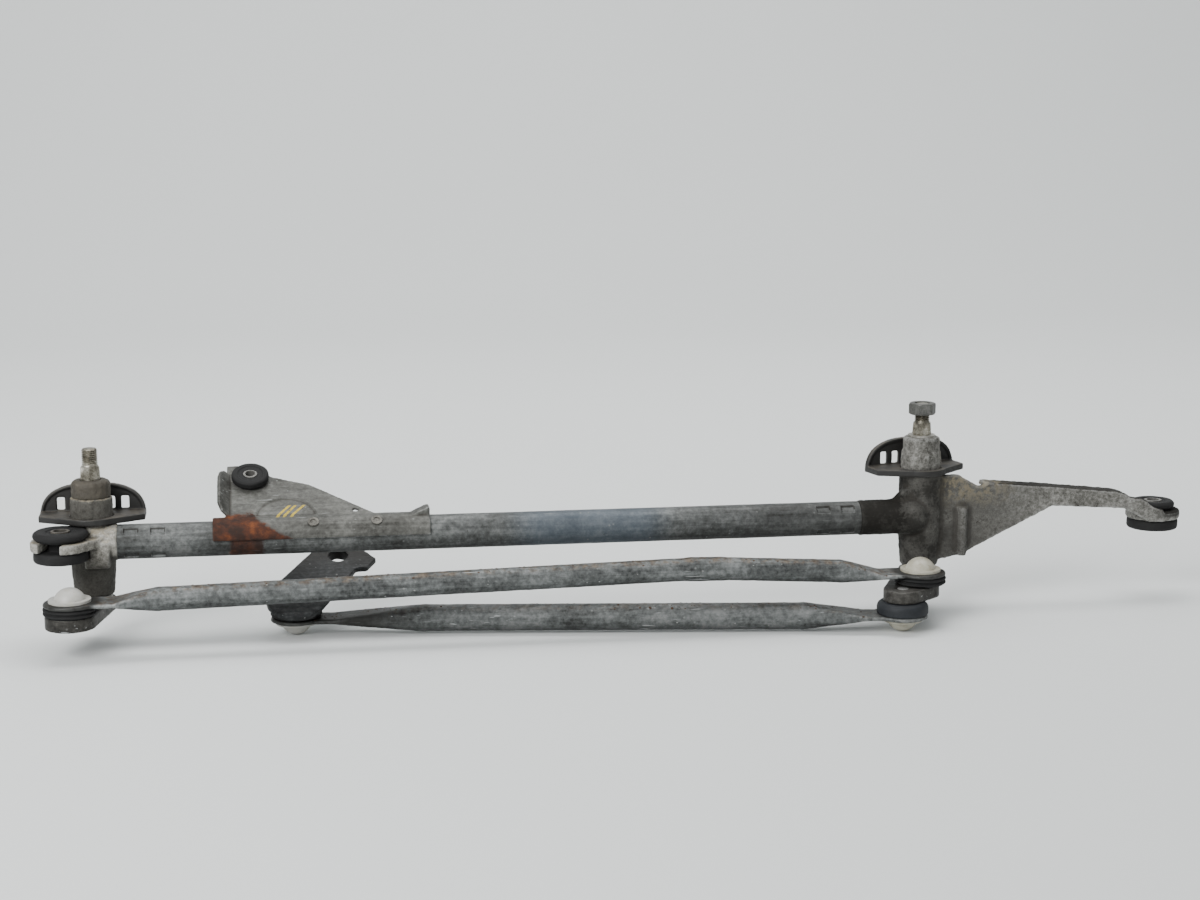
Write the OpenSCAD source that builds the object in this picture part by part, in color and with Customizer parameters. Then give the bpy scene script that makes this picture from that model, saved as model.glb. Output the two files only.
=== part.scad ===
// Windscreen wiper linkage: a frame tube with two cast spindle housings, the rockers on the
// spindles, the tandem link between them, and the drive link with its loose motor crank.
// Millimetres. X runs along the frame tube, -Y is the side of the two links, Z is up.

/* [Layout] */
// Distance between the two wiper spindles
spindle_spacing = 540; // [500:5:600]
// Frame tube axis in front of the spindle axes
tube_offset = 8; // [6:0.5:10]
// Height of the frame tube axis above the resting plane
tube_height = 65; // [62:0.5:72]

/* [Frame tube] */
// Outer diameter of the frame tube
tube_d = 22; // [20:0.5:24]
// Wall of the frame tube
tube_wall = 1.5; // [1.2:0.1:2]
// Left spindle axis to the tube's left end
tube_left_gap = 16; // [14:0.5:20]
// Tube's right end to the right spindle axis
tube_right_gap = 45; // [38:1:50]
// Length of one crimp pocket
crimp_len = 9; // [6:0.5:10]
// Width of one crimp pocket
crimp_w = 5; // [3:0.5:6]
// Depth of the crimp pockets
crimp_depth = 0.8; // [0.4:0.1:1]
// Distance between the two rows of crimps
crimp_pitch = 16.5; // [14:0.5:20]

/* [Spindles] */
// Diameter of the spindle shanks
spindle_d = 12; // [11:0.5:12.5]
// Diameter of the threaded tips
thread_d = 10; // [8:0.5:10]
// Length of the serrated cone on each spindle
cone_h = 8.2; // [6:0.2:10]
// Length of the left thread
left_thread_h = 11.5; // [9:0.5:15]
// Length of the right thread
right_thread_h = 12.5; // [12:0.5:18]
// Length of the riveted foot below the levers
foot_h = 4; // [2:0.5:6]
// Width across the flats of the arm nut
nut_af = 16; // [15:0.5:18]
// Height of the arm nut
nut_h = 7.5; // [6:0.5:9]

/* [Housings] */
// Diameter of the barrels
barrel_d = 28.4; // [27.5:0.2:32]
// Diameter of the barrels at their lower end
barrel_foot_d = 25; // [23:0.5:27]
// Length of the tapered lower end of the barrels
barrel_taper_h = 22; // [15:1:25]
// Left shield's seat above the tube axis
left_seat_rise = 12; // [12:0.5:18]
// Right shield's seat above the tube axis
right_seat_rise = 27.5; // [26:0.5:38]
// Diameter of the bosses above the seats
boss_d = 26.4; // [25:0.2:27]
// Height of the left boss above its seat
left_boss_h = 16; // [12:0.5:20]
// Height of the right boss above its seat
right_boss_h = 14.5; // [10:0.5:18]
// Diameter of the upper neck on the right boss
neck_d = 24.4; // [23:0.2:25]
// Height of the upper neck on the right boss
neck_h = 10.2; // [6:0.1:12]
// Outside diameter of the spindle bushes
bush_d = 15; // [14.5:0.5:17]
// Length of one spindle bush
bush_h = 14; // [10:1:18]
// Length of the spigots inside the tube
spigot_len = 28; // [27:1:36]

/* [Left ear] */
// Fork centre to the left of the left spindle
ear_x = 18; // [16:0.5:24]
// Fork centre in front of the left spindle
ear_y = 21; // [19:0.5:26]
// Diameter round the fork
ear_d = 37; // [35:0.5:42]
// Thickness of the ears
ear_t = 6; // [5:0.5:8]
// Left ear's lower face below the tube axis
ear_drop = 1; // [0:0.5:4]

/* [Right arm] */
// Right spindle to the eye
eye_reach = 168; // [155:1:190]
// Front face of the arm in front of the right spindle
arm_front = 8; // [4:0.5:11]
// Eye's lower face below the tube axis
eye_drop = 10; // [6:0.5:12]
// Diameter round the eye
eye_d = 36; // [35:0.5:42]
// Thickness of the arm's web
web_t = 6; // [5:0.5:8]
// Right spindle to the end of the triangular web
web_reach = 90; // [80:1:100]
// Width of the arm's top flange
flange_w = 14; // [10:0.5:18]

/* [Grommets] */
// Diameter of the rubber in the ears
grommet_d = 34; // [30:0.5:34.5]
// Thickness of one rubber flange
grommet_flange = 6; // [4:0.5:7]
// Diameter of the groove in the rubber
groove_d = 16; // [15:0.5:20]
// Outside diameter of the spacer sleeves
sleeve_d = 11.6; // [11:0.2:13]
// Bore of the spacer sleeves
sleeve_bore = 8.4; // [8:0.1:9]
// Diameter of the rubber in the motor bracket
small_grommet_d = 24; // [22:0.5:26]

/* [Shields] */
// Width of a half-moon shield
shield_w = 66; // [60:1:74]
// Height of a half-moon shield
shield_h = 22; // [19:0.5:28]
// Thickness of the shield's base
shield_base = 4; // [3:0.5:5]
// Thickness of the shield's walls
shield_wall = 2; // [1.5:0.1:2.5]
// Turn of the right shield about its spindle
right_shield_turn = 14; // [-20:1:30]

/* [Motor bracket] */
// Left spindle to the bracket's left end
bracket_x = 75; // [70:1:90]
// Length of the bracket's saddle
bracket_len = 137; // [126:1:150]
// Thickness of the bracket sheet
sheet = 2.2; // [1.8:0.1:2.6]
// Tilt of the bracket plate
plate_tilt = 25; // [20:1:30]
// Depth of the bracket plate along its slope
plate_depth = 57; // [54:0.5:62]

/* [Levers] */
// Left reach of the tandem balls from their spindles
tandem_ball_x = 12; // [8:0.5:16]
// Front reach of the tandem balls from their spindles
tandem_ball_y = 44; // [42:0.5:52]
// Left reach of the drive ball from the right spindle
drive_ball_x = 27; // [24:0.5:34]
// Front reach of the drive ball from the right spindle
drive_ball_y = 56; // [52:0.5:62]
// Thickness of the levers
lever_t = 8; // [6:0.5:9]
// Diameter round a lever's hub
lever_hub_d = 26; // [24:0.5:30]
// Diameter round a lever's ball
lever_end_d = 25; // [22:0.5:28]
// Diameter round the left lever's ball
left_end_d = 31; // [26:0.5:33]

/* [Ball joints] */
// Diameter of the balls
ball_d = 13; // [12:0.2:13]
// Diameter of the ball necks
ball_neck_d = 7.2; // [6:0.2:7.4]
// Outer radius of a socket's dome
dome_r = 10.2; // [10:0.1:12]
// Diameter of a socket's flange
socket_flange_d = 26; // [24:0.5:28]
// Outer diameter of the dust boots
boot_d = 33; // [30:0.5:34]
// Height of the tandem link's dust boots
tandem_boot_h = 5.2; // [5:0.1:8]
// Height of the drive link's dust boots
drive_boot_h = 8; // [7:0.5:10]

/* [Links] */
// Diameter of the tandem link's tube
tandem_d = 15; // [13:0.5:16]
// Diameter of the drive link's tube
drive_d = 17.4; // [15:0.2:17.8]
// Wall of the link tubes
link_wall = 1.4; // [1:0.1:2]
// Thickness of the flattened link ends
link_end_t = 3; // [2.4:0.1:3.4]
// Width of the flattened necks
link_neck_w = 23; // [20:0.5:26]
// Flat length at the tandem link's ends, from the ball
tandem_flat = 27; // [22:1:34]
// Length of the tandem link's pressed transitions
tandem_press = 27; // [20:1:50]
// Flat length at the drive link's ends, from the ball
drive_flat = 25; // [22:1:34]
// Length of the drive link's left transition
drive_left_press = 58; // [30:1:70]
// Length of the drive link's right transition
drive_right_press = 40; // [30:1:60]
// Rise of the tandem link's bend above its ends
tandem_rise = 8; // [0:0.5:8]
// Tandem link's bend to the right spindle
tandem_bend = 142; // [120:2:180]

/* [Crank] */
// Left spindle to the crank ball
crank_ball_x = 126; // [115:1:140]
// Crank ball in front of the left spindle
crank_ball_y = 5; // [0:0.5:12]
// Crank ball to crank hub
crank_len = 52; // [46:1:58]
// Turn of the crank from straight back
crank_turn = 33; // [20:1:45]
// Tilt of the crank plate
crank_tilt = 24; // [18:1:26]
// Thickness of the crank plate
crank_t = 4; // [3:0.5:5]
// Diameter round the crank's ball end
crank_end_d = 38; // [34:1:42]
// Diameter of the crank's hub hole
hub_bore = 12; // [10:0.5:14]

/* [Hidden] */
$fn = 64;
hull_fn = 32;
eps = 0.01;
side_sink = 0.05;
// Radial running clearance of spindles in bushes and of balls in sockets
run_gap = 0.05;
ball_gap = 0.25;
// Clearance between neighbours on different bodies
gap = 0.3;
// Axial play at washers and rings
play = 0.2;
washer_t = 1.8;
ring_t = 1.2;
cap_wall = 1.7;
chamfer = 1;

// Heights of the ball joint stack, from the lower domes up
low_ball_z = dome_r;
lever_z = low_ball_z + link_end_t / 2 + drive_boot_h + gap;
lever_top = lever_z + lever_t;
up_ball_z = lever_top + gap + tandem_boot_h + link_end_t / 2;
barrel_z = lever_top + washer_t + play;

// Heights on the castings
left_seat_z = tube_height + left_seat_rise;
right_seat_z = tube_height + right_seat_rise;
ear_z = tube_height - ear_drop;
eye_z = tube_height - eye_drop;

// Spindle heights
left_boss_top = left_seat_z + left_boss_h;
left_neck_top = left_boss_top + 8;
left_cap_top = left_neck_top + ring_t + play + cap_wall;
left_tip = left_cap_top + cone_h + left_thread_h;
right_boss_top = right_seat_z + right_boss_h;
right_neck_top = right_boss_top + neck_h;
right_tip = right_neck_top + ring_t + cone_h + right_thread_h;
left_neck_d = neck_d - 2 * cap_wall;

// Tube values
tube_bore = tube_d - 2 * tube_wall;
tube_y = -tube_offset;
tube_len = spindle_spacing - tube_left_gap - tube_right_gap;
crimp_margin = 4;
crimp_rows = 4;
// How much wider than the tube the castings are where they meet it
collar_rise = 1.2;
// Rounded end of the right spigot, to the left of the right spindle
spigot_end = 9;

// Places in plan, from the left spindle
left_pos = [0, 0];
right_pos = [spindle_spacing, 0];
tandem_vec = [-tandem_ball_x, -tandem_ball_y];
drive_vec = [-drive_ball_x, -drive_ball_y];
left_ball = left_pos + tandem_vec;
right_ball = right_pos + tandem_vec;
drive_ball = right_pos + drive_vec;
crank_ball = [crank_ball_x, -crank_ball_y];
ear_pos = [-ear_x, -ear_y];
eye_back = eye_d / 2 - arm_front;
eye_pos = [spindle_spacing + eye_reach, eye_back];
ear_slot_turn = -22;

// Crank values in its tilted frame, ball centre at its origin
crank_stud = 12.5;
crank_hub = crank_len * [sin(crank_turn), cos(crank_turn)];
crank_hub_d = crank_end_d - 4;
crank_boss_d = hub_bore + 10;
crank_boss_h = 4;
// How far the hub end's square corner stands out beyond its circle
crank_corner = 6;
crank_hub_plan_y = crank_ball[1] - (crank_stud + crank_t) * sin(crank_tilt)
    + crank_hub[1] * cos(crank_tilt);

// Bracket plate values, along its slope from the top of the tube
plate_x = bracket_x + 9;
plate_grommet = [plate_x + 15, plate_depth - 16];
plate_groove_d = 13;
rivet_d = 5;
rivet_head_d = 7;
rivet_head_h = 0.8;
rivet_angle = 52;
rivet_x = [bracket_x + 63, bracket_x + 103];

// Grommet values
lower_flange = grommet_flange + 1;
right_top_d = grommet_d - 5;
ear_stack = lower_flange + ear_t + grommet_flange;
small_flange = 4.5;
small_top = 5;
small_sleeve_d = 9;
small_bore = 6.4;

// Ball joint values
tandem_stud_h = up_ball_z - lever_top;
drive_stud_h = lever_z - low_ball_z;
socket_hole_d = dome_r * 2 - 1.4;
link_eye_d = boot_d;
// Neck holes in the boots: the shallow ones clear the ball, the last one the crank's tilted neck
shallow_hole = ball_neck_d + 9 * gap;
upright_hole = ball_neck_d + 4 * gap;
tilted_hole = ball_neck_d + 10;
drive_span = drive_ball - crank_ball;

// The part's frame: middle of its plan at the resting plane
x_low = ear_pos[0] - ear_d / 2;
x_high = eye_pos[0] + eye_d / 2;
y_low = drive_ball[1] - boot_d / 2;
y_high = crank_hub_plan_y + crank_hub_d / 2 * cos(crank_tilt) + crank_t * sin(crank_tilt);
part_mid = [(x_low + x_high) / 2, (y_low + y_high) / 2];

// Places a child, drawn from the left spindle's foot, in the part's own frame
module placed(pos = [0, 0], z = 0) {
    translate([pos[0] - part_mid[0], pos[1] - part_mid[1], z]) children();
}

// Turns a child drawn upside down, for the joints that hang below the levers
module hanging() {
    mirror([0, 0, 1]) children();
}

// Ring of a given height
module ring(d, bore, h) {
    difference() {
        cylinder(d = d, h = h);
        translate([0, 0, -eps]) cylinder(d = bore, h = h + 2 * eps);
    }
}

// Plate round two circles and the straight sides that touch both
module bar(a, da, b, db, t) {
    reach = b - a;
    turn = atan2(reach[1], reach[0]);
    lean = acos((da - db) / 2 / norm(reach));
    // The sides end just inside the circles, so that the outlines cross and merge
    function rim(c, d, at) = c + (d / 2 - side_sink) * [cos(at), sin(at)];
    union() {
        translate(a) cylinder(d = da, h = t);
        translate(b) cylinder(d = db, h = t);
        linear_extrude(t) polygon([
            rim(a, da, turn + lean), rim(b, db, turn + lean),
            rim(b, db, turn - lean), rim(a, da, turn - lean)
        ]);
    }
}

// Round hole at a place in plan, through a plate of thickness t
module hole(pos, d, t) {
    translate([pos[0], pos[1], -eps]) cylinder(d = d, h = t + 2 * eps);
}

// Draws along X from a profile in Y and Z
module along_x(x, len) {
    translate([x, 0, 0]) rotate([90, 0, 90]) linear_extrude(len) children();
}

// Draws across Y, centred on y, from a profile in X and Z
module across_y(y, width) {
    translate([0, y + width / 2, 0]) rotate([90, 0, 0]) linear_extrude(width) children();
}

// Solid of revolution of a housing's barrel, seat, boss and neck
module barrel_solid(seat_z, boss_h, neck_d, neck_h) {
    top = seat_z + boss_h + neck_h;
    rotate_extrude() polygon([
        [0, barrel_z], [barrel_foot_d / 2 - chamfer, barrel_z],
        [barrel_foot_d / 2, barrel_z + chamfer],
        [barrel_d / 2, barrel_z + barrel_taper_h], [barrel_d / 2, seat_z],
        [boss_d / 2, seat_z], [boss_d / 2, seat_z + boss_h - chamfer / 2],
        [boss_d / 2 - chamfer / 2, seat_z + boss_h], [neck_d / 2, seat_z + boss_h],
        [neck_d / 2, top - chamfer], [neck_d / 2 - chamfer, top], [0, top]
    ]);
}

// Key rib up the front of a boss, above the shield's base
module boss_key(seat_z, boss_h) {
    w = 2.4;
    rise = 0.6;
    translate([-w / 2, -boss_d / 2 - rise, seat_z + shield_base + play])
        cube([w, 2 * w, boss_h - shield_base - play - chamfer]);
}

// Bore for the two bushes, right through a housing
module barrel_bore(top) {
    translate([0, 0, barrel_z - eps]) cylinder(d = bush_d, h = top - barrel_z + 2 * eps);
}

// Holes for the bracket's rivets, pointing out of the tube
module at_rivets() {
    for (x = rivet_x) {
        translate([x, tube_y, tube_height]) rotate([90 - rivet_angle, 0, 0]) children();
    }
}

// Pockets pressed into one end of the tube, starting at x and going in the given direction
module crimps(x, way) {
    for (row = [0 : 1], turn = [0 : crimp_rows - 1]) {
        translate([x + way * (crimp_margin + crimp_len / 2 + row * crimp_pitch), 0, 0])
            rotate([45 + turn * 360 / crimp_rows, 0, 0])
                translate([-crimp_len / 2, -crimp_w / 2, tube_d / 2 - crimp_depth])
                    cube([crimp_len, crimp_w, crimp_depth + 1]);
    }
}

// Frame

module frame_tube() {
    color("slategray") placed() difference() {
        translate([tube_left_gap, tube_y, tube_height]) rotate([0, 90, 0])
            ring(tube_d, tube_bore, tube_len);
        translate([0, tube_y, tube_height]) {
            crimps(tube_left_gap, 1);
            crimps(tube_left_gap + tube_len, -1);
        }
        at_rivets() translate([0, 0, tube_bore / 2 - 1]) cylinder(d = rivet_d, h = tube_d / 2);
    }
}

// Spigot of a housing: collar up to the tube's end, core inside the tube
module spigot(collar_d, collar_len) {
    translate([0, tube_y, tube_height]) rotate([0, 90, 0]) {
        cylinder(d = collar_d, h = collar_len);
        cylinder(d = tube_bore, h = collar_len + spigot_len);
    }
}

// Rounded block that carries the fork, in front of the left barrel
module ear_block() {
    left = -4;
    width = tube_left_gap - 4.5 - left;
    low = ear_z - 14;
    top = ear_z + ear_t;
    round = 3;
    crown = 5;
    along_x(left, width) polygon([
        [0, low], [-ear_y + round, low], [-ear_y, low + round], [-ear_y, top - round],
        [-ear_y + round + crown, top + crown], [0, top + crown]
    ]);
}

// Open fork that the left grommet is pushed into, its mouth a little narrower than the groove
module fork() {
    mouth = groove_d - 2;
    translate([0, 0, ear_z]) difference() {
        bar(ear_pos, ear_d, [0, tube_y], barrel_d - 4, ear_t);
        hole(ear_pos, groove_d, ear_t);
        translate([ear_pos[0], ear_pos[1], -eps]) rotate(ear_slot_turn)
            translate([-mouth / 2, -ear_d, 0]) cube([mouth, ear_d, ear_t + 2 * eps]);
    }
}

module left_housing() {
    low = ear_z - lower_flange - gap;
    high = ear_z + ear_t + grommet_flange + gap;
    color("dimgray") placed() difference() {
        union() {
            // The casting leaves room for the grommet's two flanges
            difference() {
                union() {
                    barrel_solid(left_seat_z, left_boss_h, left_neck_d, left_neck_top - left_boss_top);
                    spigot(tube_d + collar_rise, tube_left_gap);
                    ear_block();
                }
                translate([ear_pos[0], ear_pos[1], low])
                    cylinder(d = grommet_d + 2 * gap, h = high - low);
            }
            fork();
            boss_key(left_seat_z, left_boss_h);
        }
        barrel_bore(left_neck_top);
    }
}

// Side outline of the right arm, from the spindle axis. It ends as the front rim of the eye.
module arm_outline() {
    top = eye_z + ear_t;
    root = right_seat_z - 1;
    polygon([
        [0, barrel_z + 5], [barrel_d / 2 + 2, barrel_z + 5], [30, barrel_z + 9],
        [web_reach, top + 7.5], [eye_reach - 27, top + 4], [eye_reach - 17, top - 1.5],
        [eye_reach - 9, eye_z], [eye_reach, eye_z], [eye_reach + 2.6, top - 1],
        [eye_reach, top + 2.6], [eye_reach - 6.5, top + 4.3], [eye_reach - 11, top + 8.2],
        [eye_reach - 15.7, top + 10.7], [eye_reach - 22.5, top + 11.4], [eye_reach - 27, top + 13],
        [web_reach, top + 18.5], [38, top + 22.5], [24, root], [0, root]
    ]);
}

// Upstanding flange along the top of the right arm
module arm_flange() {
    top = eye_z + ear_t;
    polygon([
        [42, top + 21.5], [web_reach, top + 17], [eye_reach - 32, top + 12.5],
        [eye_reach - 26, top + 10.5], [eye_reach - 22, top + 10.5], [eye_reach - 26, top + 13.8],
        [eye_reach - 32, top + 16], [web_reach, top + 20.8], [42, top + 25.2]
    ]);
}

// Gusset between the right spigot and its barrel
module spigot_gusset() {
    foot = tube_height + tube_d / 2 - 1;
    w = 9;
    polygon([[-barrel_d / 2 - w, foot], [0, foot], [0, foot + w], [-barrel_d / 2, foot + w]]);
}

module right_housing() {
    rib_d = 7;
    rib_x = 27;
    rib_h = 33;
    web_y = -arm_front + web_t / 2;
    collar_d = tube_d + collar_rise;
    color("gray") placed(right_pos) difference() {
        union() {
            barrel_solid(right_seat_z, right_boss_h, neck_d, neck_h);
            difference() {
                union() {
                    across_y(web_y, web_t) arm_outline();
                    across_y(web_y - web_t / 2 + flange_w / 2, flange_w) arm_flange();
                }
                // Room behind the rim for the grommet's upper flange
                translate([eye_reach, eye_back, eye_z + ear_t / 2])
                    cylinder(d = right_top_d + 2 * gap, h = grommet_flange + ear_t);
            }
            translate([-spigot_end, 0, 0]) mirror([1, 0, 0])
                spigot(collar_d, tube_right_gap - spigot_end);
            translate([-spigot_end, tube_y, tube_height]) sphere(d = collar_d + collar_rise);
            across_y(tube_y, web_t) spigot_gusset();
            translate([rib_x, web_y - web_t / 2, barrel_z + rib_d]) cylinder(d = rib_d, h = rib_h);
            translate([eye_reach, eye_back, eye_z]) cylinder(d = eye_d, h = ear_t);
            boss_key(right_seat_z, right_boss_h);
        }
        barrel_bore(right_neck_top);
        translate([eye_reach, eye_back, eye_z - ear_t]) cylinder(d = groove_d, h = 3 * ear_t);
    }
}

// Saddle section over the front and top of the tube, in Y and Z from the tube's axis
module saddle_section(out_r) {
    low = 0.8;
    back = tube_d / 2 - 4;
    intersection() {
        difference() {
            circle(r = out_r);
            circle(d = tube_d);
        }
        polygon([
            [-2 * out_r, low], [-1, low], [-1, back - 1], [back, back - 1],
            [back, 2 * out_r], [-2 * out_r, 2 * out_r]
        ]);
    }
}

// Draws a child in the bracket plate's frame: X as the tube, Y up the slope
module on_plate() {
    translate([0, tube_y, tube_height + tube_d / 2]) rotate([plate_tilt, 0, 0]) children();
}

// Outline of the sloping bracket plate
module plate_outline() {
    right = bracket_x + bracket_len - 33;
    corner = plate_grommet[0] - 6;
    small_hole = [right - 14, 5.5];
    small_hole_d = 3.4;
    difference() {
        polygon([
            [plate_x, 0], [right, 0], [right - 5, 4], [plate_grommet[0] + 38, plate_depth - 23],
            [plate_grommet[0] + 13, plate_depth - 13], [plate_grommet[0] + 5, plate_depth - 2],
            [corner, plate_depth], [plate_x, plate_depth]
        ]);
        translate(plate_grommet) circle(d = plate_groove_d);
        translate(small_hole) circle(d = small_hole_d);
    }
}

// Half-round pocket pressed into the plate in front of the grommet
module swage() {
    r = 19;
    depth = 0.9;
    centre = plate_grommet[0] + 22;
    intersection() {
        translate([centre, 1, sheet - depth]) cylinder(r = r, h = 2 * sheet);
        translate([centre - 2 * r, 1.5, 0]) cube([4 * r, 2 * r, 4 * sheet]);
    }
}

// Flange bent up along the plate's left edge, with rounded upper corner
module side_flange() {
    turn = 48;
    w = 11;
    top = plate_depth - 9;
    translate([plate_x + sheet / 2, 0, 0]) rotate([0, turn, 0]) linear_extrude(sheet) polygon([
        [0, 1], [3 - w, 3], [-w, 9], [-w, top - 12], [1.5 - w, top - 5], [5 - w, top - 1], [0, top]
    ]);
}

// Wedge that turns the saddle's right end up
module end_tab() {
    run = 13;
    rise = 5;
    foot = tube_d / 2 + sheet / 2;
    x = bracket_x + bracket_len;
    across_y(tube_y, tube_d / 2) polygon([
        [x - run, tube_height + foot], [x, tube_height + foot],
        [x, tube_height + foot + rise], [x - sheet, tube_height + foot + rise]
    ]);
}

module motor_bracket() {
    color("silver") placed() difference() {
        union() {
            translate([0, tube_y, tube_height])
                along_x(bracket_x, bracket_len) saddle_section(tube_d / 2 + sheet);
            end_tab();
            on_plate() difference() {
                linear_extrude(sheet) plate_outline();
                swage();
            }
            on_plate() side_flange();
        }
        at_rivets() cylinder(d = rivet_d, h = tube_d);
    }
}

module bracket_rivets() {
    seat = tube_d / 2 + sheet;
    dimple = 0.6;
    color("darkgray") placed() at_rivets() difference() {
        union() {
            translate([0, 0, tube_bore / 2]) cylinder(d = rivet_d, h = seat - tube_bore / 2 + rivet_head_h / 2);
            translate([0, 0, seat]) cylinder(d = rivet_head_d, h = rivet_head_h);
        }
        translate([0, 0, seat + rivet_head_h - dimple]) cylinder(d = rivet_d - 1, h = 2 * dimple);
    }
}

module bush(pos, z) {
    color("peru") placed(pos, z) ring(bush_d, spindle_d + 2 * run_gap, bush_h);
}

module left_upper_bush() { bush(left_pos, left_neck_top - bush_h); }
module left_lower_bush() { bush(left_pos, barrel_z); }
module right_upper_bush() { bush(right_pos, right_neck_top - bush_h); }
module right_lower_bush() { bush(right_pos, barrel_z); }

// Rubber cap over the left boss, with a lip round the spindle
module left_dust_cap() {
    hole_r = spindle_d / 2 + gap;
    color("darkslategray") placed(left_pos) rotate_extrude() polygon([
        [left_neck_d / 2, left_boss_top], [neck_d / 2, left_boss_top],
        [neck_d / 2, left_cap_top - 3], [neck_d / 2 - 1, left_cap_top - 1],
        [neck_d / 2 - 3, left_cap_top], [hole_r, left_cap_top],
        [hole_r, left_cap_top - cap_wall], [left_neck_d / 2 - chamfer, left_cap_top - cap_wall],
        [left_neck_d / 2, left_neck_top - chamfer]
    ]);
}

// Half-moon shield: base round the boss, slotted wall behind it and a rim along the arc
module shield(turn) {
    hole_d = boss_d + 2 * play;
    front_d = hole_d + 7;
    wall_y = hole_d / 2 + 1;
    rim_w = 4;
    slot_w = 4.6;
    slot_h = 8;
    slot_places = [-20, -11.3, 11.3, 20];
    // Half-moon with full shoulders
    fullness = 0.78;
    function full(v) = sign(v) * pow(abs(v), fullness);
    function arc(w, h) = [for (a = [0 : 6 : 180]) [w / 2 * full(cos(a)), h * full(sin(a))]];
    color([0.12, 0.12, 0.12]) rotate(turn) union() {
        difference() {
            union() {
                translate([-shield_w / 2, 0, 0])
                    cube([shield_w, wall_y + shield_wall / 2, shield_base]);
                cylinder(d = front_d, h = shield_base);
                linear_extrude(shield_base) polygon([
                    [-shield_w / 2, eps], [-front_d / 3, -front_d / 2.7],
                    [front_d / 3, -front_d / 2.7], [shield_w / 2, eps]
                ]);
            }
            hole([0, 0], hole_d, shield_base);
        }
        difference() {
            across_y(wall_y + shield_wall / 2, shield_wall) polygon(arc(shield_w, shield_h));
            for (x = slot_places) {
                translate([x - slot_w / 2, 0, shield_base + 1]) cube([slot_w, shield_w, slot_h]);
            }
        }
        across_y(wall_y + shield_wall / 2, rim_w) difference() {
            polygon(arc(shield_w, shield_h));
            polygon(arc(shield_w - 2 * shield_wall, shield_h - shield_wall));
        }
    }
}

module left_shield() { placed(left_pos, left_seat_z) shield(0); }
module right_shield() { placed(right_pos, right_seat_z) shield(right_shield_turn); }

// Rubber grommet with a groove for a plate of thickness t, lower flange at z = 0
module grommet(d, top_d, low, t, up, groove) {
    edge = 1.5;
    color([0.1, 0.1, 0.1]) rotate_extrude() polygon([
        [sleeve_d / 2, 0], [d / 2 - edge, 0], [d / 2, edge], [d / 2, low - edge],
        [d / 2 - edge, low], [groove / 2, low], [groove / 2, low + t],
        [top_d / 2 - 2 * edge, low + t], [top_d / 2, low + t + up - 2 * edge],
        [top_d / 2, low + t + up - edge], [top_d / 2 - edge, low + t + up],
        [sleeve_d / 2, low + t + up]
    ]);
}

module sleeve(h) {
    color("lightgray") ring(sleeve_d, sleeve_bore, h);
}

module left_grommet() {
    placed(ear_pos, ear_z - lower_flange)
        grommet(grommet_d, grommet_d, lower_flange, ear_t, grommet_flange, groove_d);
}

module left_sleeve() { placed(ear_pos, ear_z - lower_flange) sleeve(ear_stack); }

module right_grommet() {
    placed(eye_pos, eye_z - lower_flange)
        grommet(grommet_d, right_top_d, lower_flange, ear_t, grommet_flange, groove_d);
}

module right_sleeve() { placed(eye_pos, eye_z - lower_flange) sleeve(ear_stack); }

// Draws a child on the bracket plate's grommet axis, z = 0 on the sheet's lower face
module at_bracket_grommet() {
    placed() on_plate() translate([plate_grommet[0], plate_grommet[1], 0]) children();
}

module bracket_grommet() {
    edge = 1;
    color([0.1, 0.1, 0.1]) at_bracket_grommet() rotate_extrude() polygon([
        [small_sleeve_d / 2, -small_flange], [small_grommet_d / 2 - 3, -small_flange],
        [small_grommet_d / 2 - 3, 0], [plate_groove_d / 2, 0], [plate_groove_d / 2, sheet],
        [small_grommet_d / 2 - edge, sheet], [small_grommet_d / 2, sheet + edge],
        [small_grommet_d / 2, sheet + small_top - edge],
        [small_grommet_d / 2 - edge, sheet + small_top], [small_sleeve_d / 2, sheet + small_top]
    ]);
}

module bracket_sleeve() {
    color("lightgray") at_bracket_grommet() translate([0, 0, -small_flange])
        ring(small_sleeve_d, small_bore, small_flange + sheet + small_top);
}

// Rockers

// Spindle: riveted foot, shank, serrated cone and threaded tip, drawn on its own axis
module spindle(cone_z, tip_z) {
    cone_top = cone_z + cone_h;
    tip = 1;
    color("lightsteelblue") rotate_extrude() polygon([
        [0, lever_z - foot_h], [spindle_d / 2 - 1, lever_z - foot_h],
        [spindle_d / 2, lever_z - foot_h + 1], [spindle_d / 2, cone_z],
        [thread_d / 2 + 0.4, cone_top], [thread_d / 2, cone_top],
        [thread_d / 2, tip_z - tip], [thread_d / 2 - tip, tip_z], [0, tip_z]
    ]);
}

module left_spindle() { placed(left_pos) spindle(left_cap_top + play, left_tip); }
module right_spindle() { placed(right_pos) spindle(right_neck_top + ring_t + play, right_tip); }

// Lever plate round its hub and balls, with holes for the spindle and the ball rivets
module lever(balls, end_d) {
    color("darkgray") translate([0, 0, lever_z]) difference() {
        union() {
            for (b = balls) {
                bar([0, 0], lever_hub_d, b, end_d, lever_t);
            }
            if (len(balls) > 1) {
                bar(balls[0], end_d, balls[1], end_d, lever_t);
            }
        }
        hole([0, 0], spindle_d, lever_t);
        for (b = balls) {
            hole(b, ball_neck_d, lever_t);
        }
    }
}

module left_lever() { placed(left_pos) lever([tandem_vec], left_end_d); }
module right_lever() { placed(right_pos) lever([tandem_vec, drive_vec], lever_end_d); }

// Ball on its neck, with the rivet that fills a plate of thickness t below z = 0
module ball_stud(h, t) {
    color("gainsboro") {
        translate([0, 0, h]) sphere(d = ball_d);
        translate([0, 0, -t]) cylinder(d = ball_neck_d, h = t + h);
    }
}

module left_ball_stud() { placed(left_ball, lever_top) ball_stud(tandem_stud_h, lever_t); }
module right_upper_ball_stud() {
    placed(right_ball, lever_top) ball_stud(tandem_stud_h, lever_t);
}

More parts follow.
